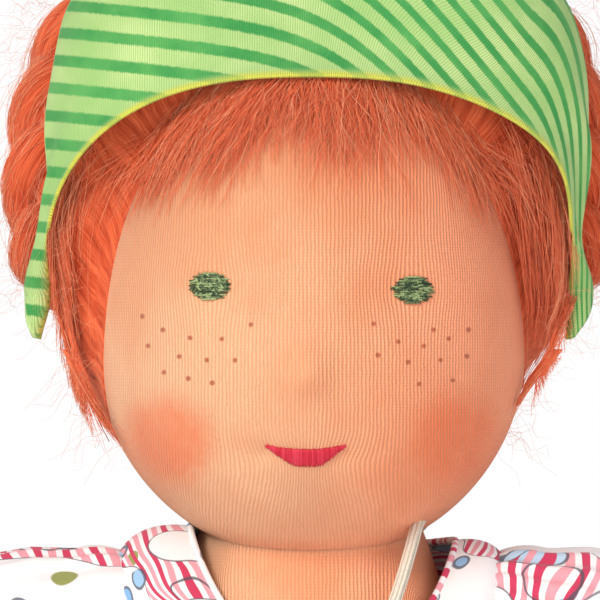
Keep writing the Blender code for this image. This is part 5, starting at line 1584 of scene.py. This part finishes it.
# Body, limbs and clothes
@dataclass(frozen=True)
class Loft:
    """Rings along a limb. Each row: across, back and up of its centre, half width, half depth, pitch."""

    rows: tuple[tuple[float, float, float, float, float, float], ...]

    def point(self, u: Array, v: Array, grow: Array | float = 0.0) -> Array:
        """Points around (u) and along (v) it, grown outward."""
        row = spline_rows(self.rows, v)
        turn = TURN * u
        wide, deep = row[:, 3] + grow, row[:, 4] + grow
        return row[:, :3] + xyz(np.cos(turn) * wide, np.sin(turn) * deep * np.cos(row[:, 5]),
                                -np.sin(turn) * deep * np.sin(row[:, 5]))

    def length(self) -> float:
        """The way through its centres."""
        return float(way_along(np.array(self.rows)[:, :3])[-1])


@dataclass(frozen=True)
class BodyForm:
    """Sizes of the doll below its head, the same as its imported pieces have."""

    shoulder_z: float = 246 * MM
    hip_z: float = 150 * MM
    ankle_z: float = 34 * MM
    waist_z: float = 200 * MM
    shoulder_x: float = 45 * MM
    hip_x: float = 24 * MM
    torso_width: float = 40 * MM
    torso_depth: float = 28 * MM
    arm_radius: float = 12.6 * MM
    arm_length: float = 112 * MM
    arm_droop: float = math.radians(22)
    sleeve_length: float = 56 * MM
    leg_radius: float = 20.6 * MM
    foot_length: float = 50 * MM
    foot_width: float = 13 * MM
    foot_height: float = 10.5 * MM
    torso: tuple[Triple, ...] = (
        (0, .80, .80), (.09, .95, .95), (.25, 1, 1), (.45, .95, .96), (.66, .90, .88), (.85, .90, .80),
        (.96, .84, .76), (1, .72, .74))
    arm: tuple[Triple, ...] = (
        (0, 1, 1), (.22, .96, .96), (.45, .88, .88), (.62, .80, .80), (.72, .74, .72), (.80, .86, .70),
        (.88, .96, .66), (.95, .80, .54), (.99, .40, .30), (1.0, .04, .03))
    leg: tuple[Triple, ...] = (
        (0, 1, 1), (.20, .94, .97), (.40, .84, .88), (.58, .74, .80), (.74, .68, .74), (.88, .62, .66),
        (1, .60, .66))
    foot: tuple[tuple[float, float, float, float, float], ...] = (
        (.040, .574, .370, .98, 1.53), (.130, .522, .478, 1.00, 1.46),
        (.295, .478, .606, 1.00, 1.15), (.460, .456, .739, .96, .91), (.590, .405, .833, .74, .66),
        (.655, .385, .90, .42, .38), (.680, .380, .95, .03, .03))

    def torso_size(self, z: Array) -> tuple[Array, Array]:
        """Half width and half depth of the torso at some heights."""
        share = (z - self.hip_z) / (self.shoulder_z - self.hip_z)
        table = np.array(self.torso)
        return (np.interp(share, table[:, 0], table[:, 1]) * self.torso_width,
                np.interp(share, table[:, 0], table[:, 2]) * self.torso_depth)

    def leg_loft(self, side: Side, rounded: bool = False) -> Loft:
        """One leg with its foot, from the hip or from its rounded top down to the toes."""
        rows = []
        x = side.value * self.hip_x
        if rounded:
            for share in (0.72, 0.36):
                size = self.leg_radius * math.sqrt(1 - share ** 2)
                rows.append((x, MIDDLE_Y, self.hip_z + share * self.leg_radius, size, size, 0.0))
        for along, wide, deep in self.leg:
            rows.append((x, MIDDLE_Y, self.hip_z - along * (self.hip_z - self.ankle_z),
                         wide * self.leg_radius, deep * self.leg_radius, 0.0))
        for forward, high, pitch, wide, deep in self.foot:
            rows.append((x, MIDDLE_Y - forward * self.foot_length, high * self.ankle_z,
                         wide * self.foot_width, deep * self.foot_height, pitch * math.pi / 2))
        return Loft(tuple(rows))

    def turn_at_hip(self, side: Side, piece: Piece) -> None:
        """Bake a cloth's placement into its mesh.

        Args:
            side: which leg; not used.
            piece: the cloth, its mesh final.
        """
        way = unit(np.array([1.44 * side.value, 0.0, -1.0]))
        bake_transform(piece)

    def arm_place(self, side: Side, local: Array) -> Array:
        """Points on an arm, given across, back and out along it, placed on the doll."""
        turn = side.value * (math.pi / 2 + self.arm_droop)
        x = local[:, 0] * math.cos(turn) + local[:, 2] * math.sin(turn)
        z = -local[:, 0] * math.sin(turn) + local[:, 2] * math.cos(turn)
        return xyz(x + side.value * self.shoulder_x, local[:, 1] + MIDDLE_Y, z + self.shoulder_z)

    def arm_loft(self) -> Loft:
        """An arm with its mitten hand, from inside the shoulder out to the fingers' end."""
        radius = self.arm_radius
        rows = [(0.0, 0.0, -0.64 * radius, 0.77 * radius, 0.77 * radius, 0.0)]
        for along, wide, deep in self.arm:
            rows.append((0.0, 0.0, along * self.arm_length, wide * radius, deep * radius, 0.0))
        return Loft(tuple(rows))


BODY = BodyForm()


@dataclass(frozen=True)
class PrintFinish:
    """White cotton printed with blue shapes, pink rows, dark outlines and olive sprigs."""

    ground: Triple = (0.90, 0.89, 0.90)
    sky: Triple = (0.20, 0.42, 0.70)
    pale_sky: Triple = (0.52, 0.70, 0.86)
    pink: Triple = (0.84, 0.36, 0.42)
    crimson: Triple = (0.62, 0.05, 0.12)
    line: Triple = (0.07, 0.08, 0.11)
    olive: Triple = (0.30, 0.34, 0.10)

    def material(self) -> Material:
        """The print on its cloth."""
        made, n, shader = new_material("print_cotton", 0.9, 0.25)
        place = n.cloth_place()
        x, y, _ = n.split(place)
        warp = n.noise(place, 46.0, 1.0, colour=True)
        moved = n.vector("MULTIPLY_ADD", warp, (0.012, 0.012, 0.0))
        n.feed(moved.inputs[2], place)
        across, along, _ = n.split(moved.outputs[0])
        # Motifs on a staggered net: a pebble, a ringed pebble or a sprig
        cells = n.add("ShaderNodeTexVoronoi", feature="F1")
        n.feed(cells.inputs["Vector"], n.join(across, along))
        cells.inputs["Scale"].default_value = 74.0
        cells.inputs["Randomness"].default_value = 0.75
        away = cells.outputs["Distance"]
        kind, tone, _ = n.split(cells.outputs["Color"])
        blue = n.times(n.ramp(away, 0.42, 0.39), n.math("GREATER_THAN", kind, 0.42))
        base = n.mix(blue, self.ground, n.mix(tone, self.pale_sky, self.sky))
        core = n.times(n.ramp(away, 0.17, 0.14), n.math("GREATER_THAN", tone, 0.45))
        base = n.mix(core, base, self.ground)
        olive = n.times(n.ramp(away, 0.26, 0.23), n.math("LESS_THAN", kind, 0.20))
        base = n.mix(olive, base, self.olive)
        rows = n.math("FRACT", n.over(along, 3.1 * MM))
        banded = n.ramp(n.off(rows, 0.5), 0.30, 0.26)
        patch = n.noise(n.join(across, along), 42.0, 0.0)
        here = n.ramp(patch, 0.52, 0.53)
        bands = n.mix(n.math("GREATER_THAN", n.math("FRACT", n.over(along, 6.2 * MM)), 0.5),
                      self.pink, self.crimson)
        base = n.mix(n.times(banded, here), base, bands)
        outline = n.times(n.ramp(n.off(away, 0.41), 0.030, 0.014),
                         n.math("GREATER_THAN", kind, 0.30))
        edge = n.ramp(n.off(patch, 0.525), 0.007, 0.003)
        drawn = n.math("MAXIMUM", n.times(outline, 0.85), n.times(edge, 0.75))
        base = n.mix(drawn, base, self.line)
        n.dress(shader, base)
        weave = n.times(n.math("SINE", n.over(x, 0.075 * MM)),
                       n.math("SINE", n.over(y, 0.075 * MM)))
        n.feed(shader.inputs["Normal"], n.bump(weave, 0.18, 0.1 * MM))
        return made


def woven_material(name: str, dark: Triple, light: Triple, twill: float) -> Material:
    """A woven cloth, with slanting twill lines of a given pitch in metres."""
    made, n, shader = new_material(name, 0.9, 0.25)
    place = n.cloth_place()
    x, y, _ = n.split(place)
    slanted = n.over(n.math("ADD", x, y), twill / TURN)
    lines = n.times_add(n.math("SINE", slanted), 0.5, 0.5)
    mottled = n.noise(place, 900.0, 3.0)
    share = n.times_add(lines, 0.45, n.times(mottled, 0.6))
    n.dress(shader, n.mix(share, dark, light), lines, 0.35, 0.25 * MM)
    return made


def knitted_material(name: str, dark: Triple, light: Triple, rib: float, depth: float) -> Material:
    """A rib knit of a given rib pitch and depth in metres."""
    made, n, shader = new_material(name, 0.88, 0.3)
    ribs = n.group(knit_group(), Place=n.cloth_place(), Rib=rib, Row=rib * 0.8, Wobble=0.25)
    fuzz = n.noise(n.object_place(), 1500.0, 2.0)
    # Painted shade: darker in the dotted gaps between the ribs
    share = n.minus(n.times_add(fuzz, 0.5, 0.5), ribs.outputs["Groove"])
    n.dress(shader, n.mix(share, dark, light), ribs.outputs["Height"], 0.6, depth)
    return made


def felt_material(name: str, dark: Triple, light: Triple) -> Material:
    """Wool felt: matted short fibres."""
    made, n, shader = new_material(name, 0.95, 0.6, light)
    place = n.object_place()
    fine, wide = n.noise(place, 2600.0, 3.0), n.noise(place, 240.0, 2.0)
    share = n.times_add(wide, 0.5, n.times(fine, 0.6))
    n.dress(shader, n.mix(share, dark, light), fine, 0.5, 0.25 * MM)
    return made


def wood_material() -> Material:
    """Turned wood with fine grain."""
    made, n, shader = new_material("turned_wood", 0.42)
    place = n.object_place()
    x, y, z = n.split(place)
    grain = n.noise(n.join(n.times(x, 0.15), y, z), 1800.0, 4.0)
    colour = n.mix(n.ramp(grain, 0.3, 0.7), (0.22, 0.10, 0.035), (0.55, 0.32, 0.15))
    n.dress(shader, colour, grain, 0.15, 0.1 * MM)
    return made


@dataclass
class Torso:
    """The jersey body under the clothes."""

    form: BodyForm
    low: float = 156 * MM
    top_drop: float = 1.5 * MM

    def build(self, skin: Material) -> None:
        """The body from the crotch up, closed over the shoulders round the neck's base."""
        form = self.form
        floor, top = self.low, form.shoulder_z - self.top_drop

        def place(u: Array, v: Array) -> Array:
            share = np.clip((v - 0.10) / 0.74, 0.0, 1.0)
            z = floor + (top - floor) * share
            wide, deep = form.torso_size(z)
            closing = np.sin(np.clip(v / 0.10, 0.0, 1.0) * math.pi / 2)
            closed = smooth_ramp(v, 0.84, 1.0)
            inward = 1.0 - 0.62 * closed
            turn = TURN * u
            size = np.maximum(closing, 0.001) * inward
            size = size * (1 - 0.26 * smooth_ramp(z, form.hip_z + 42 * MM, form.hip_z + 12 * MM))
            x, y = np.cos(turn) * wide * size, np.sin(turn) * deep * size
            swing = np.hypot(np.abs(x) - form.hip_x, z - form.hip_z)
            lift = np.maximum(0.0, form.leg_radius + 2.2 * MM - swing) * (z < form.hip_z + form.leg_radius)
            return xyz(x, y + MIDDLE_Y, z + lift * 0.9 + 6.5 * MM * closed ** 1.5)

        piece = mapped_grid("body_knit", (96, 60), place, (0.22, 0.11), MERGE)
        finish_piece(piece, skin, "torso", ["torso_skin", "torso_stuffing"])


@dataclass
class Limb:
    """One arm and one leg in jersey, with what they wear."""

    side: Side
    form: BodyForm

    def build_arm(self, skin: Material) -> None:
        """The arm with its mitten hand, thumb and tied wrist."""
        form, loft = self.form, self.form.arm_loft()

        def place(u: Array, v: Array) -> Array:
            point = loft.point(u, v)
            far = point[:, 2] / form.arm_length
            inward = np.maximum(0.0, -self.side.value * np.cos(TURN * u)) ** 6
            thumb = np.exp(-(((far - 0.80) / 0.055) ** 2)) * inward
            point[:, 0] -= self.side.value * 5.4 * MM * thumb
            point[:, 2] += 4.5 * MM * thumb
            return form.arm_place(self.side, point)

        label = self.side.label
        piece = mapped_grid(f"arm_knit_{label}", (48, 90), place, (0.075, form.arm_length), MERGE)
        self.close_start(piece)
        finish_piece(piece, skin, f"arm_{label}",
                     [f"arm_skin_{label}", f"arm_stuffing_{label}"])

    def close_start(self, piece: Piece) -> None:
        """Fill the open first ring of a limb."""
        with editing(piece):
            bpy.ops.mesh.select_all(action="DESELECT")
            bpy.ops.mesh.select_mode(type="EDGE")
            bpy.ops.mesh.select_non_manifold(extend=False)
            bpy.ops.mesh.edge_face_add()

    def build_sleeve(self, print_cloth: Material, band: Material) -> None:
        """A short gathered sleeve with its band."""
        form, side, label = self.form, self.side.value, self.side.label
        ball = form.arm_radius + 1.9 * MM
        start = -0.64 * ball

        def tube(u: Array, along: Array, size: Array) -> Array:
            turn = TURN * u
            return form.arm_place(self.side, xyz(np.cos(turn) * size, np.sin(turn) * size, along))

        def place(u: Array, v: Array) -> Array:
            along = start + (form.sleeve_length - start) * v
            far, turn = along / form.sleeve_length, TURN * u
            puff = np.interp(far, [-0.2, 0, 0.15, 0.35, 0.6, 0.88, 1.0], [0, 0.8, 4.6, 7.2, 7.0, 5.0, 5.4])
            top = np.maximum(0.0, side * np.cos(turn)) ** 2
            high = np.interp(far, [-0.2, 0, 0.3, 0.6, 1.0], [0.2, 0.75, 1, 0.5, 0])
            raised = (3.0 - 1.6 * side) * top * high
            pleat = 0.55 * np.sin(turn * 17 + 2 * np.sin(turn * 3)) * (1 - smooth_ramp(far, 0.05, 0.6) * 0.75)
            inner = np.sqrt(np.clip(1 - np.minimum(along / ball, 0.0) ** 2, 0, 1))
            return tube(u, along, (ball + (puff + raised + pleat) * MM) * inner)

        def band_place(u: Array, v: Array) -> Array:
            along = form.sleeve_length - 5.6 * MM + 6.0 * MM * v
            return tube(u, along, ball + 5.6 * MM + 0.9 * MM * np.sin(math.pi * v))

        piece = mapped_grid(f"sleeve_cloth_{label}", (120, 44), place, (0.120, 0.068), FINE_MERGE, 0.6 * MM)
        finish_piece(piece, print_cloth, f"arm_{label}", [f"sleeve_{label}"])
        piece = mapped_grid(f"cuff_band_{label}", (72, 8), band_place, (0.124, 0.006), FINE_MERGE, 0.7 * MM)
        finish_piece(piece, band, f"arm_{label}", [f"cuff_{label}"])

    def build_leg(self, skin: Material, sock: Material) -> None:
        """The leg in jersey and its sock."""
        form, label = self.form, self.side.label
        loft = form.leg_loft(self.side, rounded=True)
        long = loft.length()

        def place(u: Array, v: Array) -> Array:
            high = loft.point(u, v)[:, 2]
            return loft.point(u, v, -7.5 * MM * smooth_ramp(high, form.hip_z - 40 * MM, form.hip_z - 8 * MM))

        piece = mapped_grid(f"leg_knit_{label}", (44, 100), place, (0.10, long), MERGE)
        self.close_start(piece)
        finish_piece(piece, skin, "", [f"leg_skin_{label}", f"leg_stuffing_{label}"])
        form.turn_at_hip(self.side, piece)
        start = 0.497

        def sock_place(u: Array, v: Array) -> Array:
            slump = 0.35 * MM * np.sin(v * 75) * smooth_ramp(v, 0.02, 0.10) * (1 - smooth_ramp(v, 0.35, 0.5))
            rim = 0.5 * MM * (1 - smooth_ramp(v, 0.05, 0.07))
            return loft.point(u, start + (1 - start) * v, 1.1 * MM + slump + rim)

        piece = mapped_grid(f"sock_knit_{label}", (56, 90), sock_place, (0.085, long * 0.55), MERGE, 0.6 * MM)
        finish_piece(piece, sock, f"leg_{label}", [f"sock_{label}"])


@dataclass
class Trousers:
    """Cotton trousers as two halves, each one cloth from the waist over the hip to its hem."""

    form: BodyForm
    ease: float = 1.9 * MM
    hem_z: float = 62 * MM
    # Half of the gap between the two halves' cloth on the middle plane
    middle_gap: float = 0.25 * MM

    def build_half(self, side: Side, cloth: Material) -> None:
        """One half, shaped round its leg below the hip."""
        form, label = self.form, side.label
        table = np.array(form.leg)

        def place(u: Array, v: Array) -> Array:
            z = form.waist_z + (self.hem_z - form.waist_z) * v
            wide, deep = form.torso_size(np.maximum(z, form.hip_z))
            wide, deep = wide + self.ease, deep + self.ease
            turn = ((u + 0.5) % 1.0 - 0.5) * TURN
            reach = 2.0
            outer = np.abs(turn) <= reach
            eased = turn / reach * math.pi / 2
            back = np.sign(turn) * deep * (math.pi - np.abs(turn)) / (math.pi - reach)
            x = np.where(outer, wide * np.cos(eased), 0.0) + self.middle_gap
            y = np.where(outer, deep * np.sin(eased), back)
            fall = np.clip((form.hip_z - z) / (form.hip_z - self.hem_z), 0.0, 1.0)
            share = np.clip((form.hip_z - z) / (form.hip_z - form.ankle_z), 0.0, 1.0)
            size = np.interp(share, table[:, 0], table[:, 1]) * form.leg_radius
            thick = np.interp(share, table[:, 0], table[:, 2]) * form.leg_radius
            folds = 0.8 * MM * np.sin(turn * 5 + z * 130) * smooth_ramp(fall, 0.1, 0.6)
            gathered = np.exp(-((fall - 0.82) / 0.2) ** 2)
            folds = folds + 0.7 * MM * np.sin(z * 420 + 2 * np.cos(turn)) * gathered
            grow = self.ease + 4.9 * MM * fall ** 2 + folds
            lx = form.hip_x + np.cos(turn) * (size + grow)
            ly = np.sin(turn) * (thick + grow)
            mixed = smooth_ramp(z, form.hip_z + 26 * MM, form.hip_z + 4 * MM)
            parted = smooth_ramp(z, form.hip_z - 8 * MM, form.hip_z - 26 * MM)
            seam = self.middle_gap + np.maximum(lx - self.middle_gap, 0.0) * parted
            lx = np.where(lx < form.hip_x, np.where(outer, lx, seam), lx)
            drawn = smooth_ramp(z, form.waist_z - 40 * MM, form.waist_z - 8 * MM)
            gather = 0.5 * MM * np.sin(turn * 21) * drawn
            x = x * (1 - mixed) + np.maximum(lx, self.middle_gap) * mixed
            rounded = smooth_ramp(z, form.hip_z + 6 * MM, form.hip_z - 16 * MM)
            y = y * (1 - rounded) + ly * rounded
            outward = np.where(outer, 1 + gather / (30 * MM), 1.0)
            return xyz(side.value * x * outward, MIDDLE_Y + y * outward, z)

        long = form.waist_z - self.hem_z
        piece = mapped_grid(f"trousers_{label}", (110, 120), place, (0.15, long), FINE_MERGE, 0.6 * MM)
        seat = ["trousers_seat"] if side is Side.LEFT else []
        finish_piece(piece, cloth, "", [f"trouser_leg_{label}", *seat])
        form.turn_at_hip(side, piece)

    def build_waist(self, cloth: Material) -> None:
        """The gathered elastic waist."""
        form = self.form

        def place(u: Array, v: Array) -> Array:
            z = form.waist_z - 7 * MM + 7.2 * MM * v
            wide, deep = form.torso_size(z)
            turn = TURN * u
            ruck = 0.35 * MM * np.sin(turn * 46) + 0.9 * MM * np.sin(math.pi * v)
            grow = self.ease + 0.9 * MM + ruck
            return xyz(np.cos(turn) * (wide + grow), MIDDLE_Y + np.sin(turn) * (deep + grow), z)

        piece = mapped_grid("waist_band", (220, 8), place, (0.25, 0.007), FINE_MERGE, 0.9 * MM)
        finish_piece(piece, cloth, "torso", ["waist_elastic"])


@dataclass
class Shoe:
    """A felt shoe: upper, sole and strap."""

    side: Side
    form: BodyForm
    felt: float = 1.6 * MM
    inside: float = 1.4 * MM
    sole: float = 4 * MM
    # The sole's section from its middle out and back: shares of its reach and its thickness
    sole_profile: tuple[Pair, ...] = (
        (0.02, 0.0), (0.86, 0.0), (0.965, 0.08), (1.0, 0.35), (1.0, 0.75), (0.985, 1.0), (0.9, 1.0),
        (0.02, 1.0))

    def build(self, red: Material) -> None:
        """All of the shoe but its button."""
        self.build_upper(red)
        self.build_sole(red)
        self.build_strap(red)

    def build_upper(self, red: Material) -> None:
        """The upper, open over the instep."""
        form, label = self.form, self.side.label
        loft = form.leg_loft(self.side)
        tall = 8 * MM
        opening = np.array([self.side.value * form.hip_x, MIDDLE_Y - 0.18 * form.foot_length,
                            form.ankle_z + 0.2 * tall])
        reach = np.array([form.foot_width * 2, form.foot_length * 0.22, tall])
        start = 6.0 / (len(loft.rows) - 1)

        def place(u: Array, v: Array) -> Array:
            point = loft.point(u, start + (1 - start) * v, self.inside + self.felt)
            rim = 1 - smooth_ramp(v, 0.0, 0.05)
            point[:, 2] -= rim * 0.4 * MM
            point[:, 2] = np.maximum(point[:, 2], self.sole + 0.2 * MM)
            return point

        piece = mapped_grid(f"shoe_upper_felt_{label}", (72, 90), place, (0.09, 0.07), FINE_MERGE)
        mesh = piece.data
        middles = read(mesh.polygons, "center", 3)
        inside = (((middles - opening) / reach) ** 2).sum(axis=1) < 1.0
        chosen = inside & (middles[:, 2] > form.ankle_z * 0.5)
        for items, picked in ((mesh.vertices, False), (mesh.edges, False), (mesh.polygons, chosen)):
            items.foreach_set("select", np.ones(len(items), bool) & picked)
        with editing(piece):
            bpy.ops.mesh.select_mode(type="FACE")
            bpy.ops.mesh.delete(type="FACE")
        give_thickness(piece, self.felt)
        finish_piece(piece, red, f"leg_{label}", [f"shoe_upper_{label}"])

    def outline(self, turn: Array, grow: float) -> tuple[Array, Array]:
        """The sole's outline: across from the foot's middle and back from the leg's."""
        form = self.form
        back, front = form.foot_width + grow, 0.68 * form.foot_length + grow
        forward = np.sin(turn)
        narrow = 1 - 0.08 * (1 + forward) / 2
        across = signed_power(np.cos(turn), 0.8) * (form.foot_width + grow) * narrow
        return across, (back - front) / 2 + forward * (front + back) / 2

    def build_sole(self, red: Material) -> None:
        """The felt sole with rounded edges."""
        form, label = self.form, self.side.label

        def place(u: Array, v: Array) -> Array:
            turn = TURN * u
            row = spline_rows(self.sole_profile, v)
            across, along = self.outline(turn, self.inside)
            middle = self.outline(np.array([math.pi / 2, -math.pi / 2]), self.inside)[1].mean()
            return xyz(self.side.value * form.hip_x + across * row[:, 0],
                       MIDDLE_Y + middle + (along - middle) * row[:, 0],
                       np.clip(row[:, 1], 0, 1) * self.sole)

        piece = mapped_grid(f"shoe_sole_felt_{label}", (72, 40), place, (0.11, 0.03), FINE_MERGE)
        finish_piece(piece, red, f"leg_{label}", [f"shoe_sole_{label}"])

    def build_strap(self, red: Material) -> None:
        """The strap over the instep."""
        form, label = self.form, self.side.label
        centre = np.array([self.side.value * form.hip_x, MIDDLE_Y - form.foot_length * 0.12,
                           form.ankle_z * 0.53])
        pitch = math.pi / 2 * 0.46
        lift = self.inside + self.felt + 1.7 * MM
        across = np.array([0.0, math.sin(pitch), math.cos(pitch)]) * 6 * MM

        def place(u: Array, v: Array) -> Array:
            turn = math.radians(175) + math.radians(190) * u
            wide, deep = form.foot_width + lift, form.foot_height * 1.46 + lift
            ring = xyz(np.cos(turn) * wide, np.sin(turn) * deep * math.cos(pitch),
                       -np.sin(turn) * deep * math.sin(pitch))
            return centre + ring + (v - 0.5)[:, None] * across

        piece = mapped_grid(f"shoe_strap_felt_{label}", (60, 8), place, (0.06, 0.006))
        give_thickness(piece, self.felt, 1.0)
        finish_piece(piece, red, f"leg_{label}", [f"shoe_strap_{label}"])


@dataclass
class Blouse:
    """The printed blouse, hanging loose from its neck opening."""

    form: BodyForm
    ease: float = 5 * MM
    hem_z: float = 179 * MM
    flare: float = 5 * MM
    neck_middle: float = 2.5 * MM
    neck_width: float = 28.5 * MM
    neck_front: float = 24 * MM
    neck_back: float = 27 * MM
    neck_z: float = 265.5 * MM
    # Where the body's cloth starts to turn in over the shoulders, where it ends, and its width there
    shoulder_start: float = 236 * MM
    shoulder_end: float = 247 * MM
    shoulder_width: float = 43.6 * MM
    top_z: float = 250 * MM
    # Share of the way up at which the yoke starts
    yoke: float = 0.72

    def edge(self, turn: Array) -> Array:
        """The neck opening."""
        x = self.neck_middle + self.neck_width * signed_power(np.cos(turn), 0.8)
        back = np.sin(turn)
        y = np.where(back > 0, self.neck_back, self.neck_front) * back
        low = np.maximum(0.0, -back)
        z = (self.neck_z - (x - self.neck_middle + self.neck_width) * 0.055 - low ** 1.6 * 27 * MM
             - np.maximum(0.0, back) ** 2 * 3 * MM)
        return xyz(x, y + MIDDLE_Y, z)

    def place(self, u: Array, v: Array) -> Array:
        """Points round (u) the body and up (v) from the hem to the neck opening."""
        form = self.form
        turn = TURN * u
        beside = np.abs(np.cos(turn)) ** 2
        front = np.maximum(0.0, -np.sin(turn))
        top = self.top_z - 22 * MM * front ** 2 * (1 - beside) - 3 * MM * (1 - beside)
        low = np.clip(v / self.yoke, 0.0, 1.0)
        z = self.hem_z + (top - self.hem_z) * low
        drop = (form.shoulder_z - z) / (form.shoulder_z - self.hem_z)
        wide, deep = form.torso_size(np.minimum(z, self.shoulder_start))
        wide = wide + ((self.shoulder_width - self.ease - wide)
                       * smooth_ramp(z, self.shoulder_start, self.shoulder_end))
        folds = 1.1 * MM * np.sin(turn * 9 + 1.7 * np.sin(turn * 2)) * np.clip(drop, 0, 1) ** 1.4
        grow = self.ease + self.flare * np.clip(drop, 0, 1) ** 2 + folds
        square = 1 - 0.12 * smooth_ramp(z, 225 * MM, self.shoulder_end)
        x = signed_power(np.cos(turn), square) * (wide + grow)
        y = signed_power(np.sin(turn), square) * (deep + grow)
        start = xyz(x, y + MIDDLE_Y, z)
        end = self.edge(turn)
        share = np.clip((v - self.yoke) / (1 - self.yoke), 0.0, 1.0)[:, None]
        knee = start.copy()
        knee[:, 2] = np.maximum(end[:, 2] + (0.5 + 1.5 * beside) * MM, start[:, 2] + 1.0 * MM)
        knee[:, :2] = start[:, :2] * 0.98 + end[:, :2] * 0.02
        return start * (1 - share) ** 2 + knee * 2 * share * (1 - share) + end * share ** 2

    def build(self, cloth: Material) -> None:
        """The blouse's body as one thin cloth."""
        piece = mapped_grid("blouse_cloth", (200, 110), self.place, (0.26, 0.115), FINE_MERGE, 0.7 * MM)
        finish_piece(piece, cloth, "torso", ["blouse"])
        line = self.edge(np.linspace(0, TURN, 160, endpoint=False))
        binding = tube_grid("neck_binding", line, 0.75 * MM, 8, 240)
        finish_piece(binding, cloth, "torso")


@dataclass
class NeckCord:
    """A knitted cotton cord worn as a loop, over the neck on the doll's left and else under the blouse."""

    form: BodyForm
    radius: float = 1.4 * MM
    drop: float = 30 * MM
    half_width: float = 26 * MM
    half_depth: float = 20.5 * MM
    # Once round the neck from behind: shares of its half width, its half depth and the cord's drop
    route: tuple[Triple, ...] = (
        (0.00, 1.22, 0.30), (0.55, 1.05, 0.44), (0.88, 0.60, 0.62), (0.94, 0.10, 0.72), (0.92, -0.34, 0.73),
        (0.87, -0.64, 0.66), (0.81, -0.86, 0.48), (0.74, -1.00, 0.28), (0.64, -1.13, 0.02),
        (0.52, -1.22, -0.30), (0.32, -1.27, -0.58), (0.00, -1.24, -0.76), (-0.40, -1.22, -0.62),
        (-0.78, -1.12, -0.30), (-1.04, -0.84, 0.02), (-1.17, -0.36, 0.22), (-1.17, 0.20, 0.30),
        (-0.98, 0.74, 0.30), (-0.56, 1.10, 0.24))

    def build(self, cotton: Material) -> None:
        """The cord as a closed knit tube."""
        loop = [(x * self.half_width, y * self.half_depth + MIDDLE_Y, self.form.shoulder_z + z * self.drop)
                for x, y, z in self.route]
        closed = np.array(loop[-2:] + loop + loop[:3])
        share = np.linspace(2 / (len(closed) - 1), (len(closed) - 3) / (len(closed) - 1), 301)
        piece = tube_grid("neck_cord_knit", spline_rows(closed, share)[:-1], self.radius, 16, 420)
        finish_piece(piece, cotton, "torso", ["neck_cord"])


def dress(skin: Material) -> None:
    """Everything below the head."""
    print_cloth = PrintFinish().material()
    navy = woven_material("trouser_twill", (0.035, 0.06, 0.14), (0.16, 0.24, 0.42), 0.55 * MM)
    sock = knitted_material("sock_rib", (0.16, 0.30, 0.06), (0.52, 0.72, 0.28), 1.6 * MM, 0.5 * MM)
    red = felt_material("shoe_felt", (0.30, 0.012, 0.015), (0.66, 0.06, 0.07))
    cotton = knitted_material("cord_knit", (0.52, 0.43, 0.30), (0.93, 0.86, 0.74), 1.1 * MM, 0.5 * MM)
    Torso(BODY).build(skin)
    Blouse(BODY).build(print_cloth)
    trousers = Trousers(BODY)
    for side in Side:
        limb = Limb(side, BODY)
        limb.build_arm(skin)
        limb.build_sleeve(print_cloth, navy)
        limb.build_leg(skin, sock)
        trousers.build_half(side, navy)
        Shoe(side, BODY).build(red)
    trousers.build_waist(navy)
    NeckCord(BODY).build(cotton)
    wood = wood_material()
    for name in ("shoe_button_left", "shoe_button_right", "back_button_1", "back_button_2", "back_button_3"):
        for place in bpy.data.objects[name].material_slots:
            place.material = wood


def tie_material() -> Material:
    """Green jersey of the braids' ties."""
    made, n, shader = new_material("tie_jersey", 0.85, 0.2)
    fine = n.noise(n.object_place(), 900.0, 2.0)
    base = n.mix(n.ramp(fine, 0.3, 0.7), (0.04, 0.30, 0.07), (0.12, 0.48, 0.12))
    n.dress(shader, base, fine, 0.5, 0.3 * MM)
    return made


def main() -> None:
    """Build the doll's pieces in order."""
    logging.basicConfig(level=logging.INFO, format="%(name)s: %(message)s")
    Studio().build()
    head = Head(HEAD)
    head.build_skin(SKIN.material("head_knit", True))
    head.build_eyes(EYE_THREAD.material())
    head.build_mouth(MOUTH_THREAD.material())
    Kerchief().build(KerchiefFinish())
    Hair(HEAD).build(MohairFinish(), tie_material())
    dress(SKIN.material("body_knit", False))


if __name__ == "__main__":
    main()
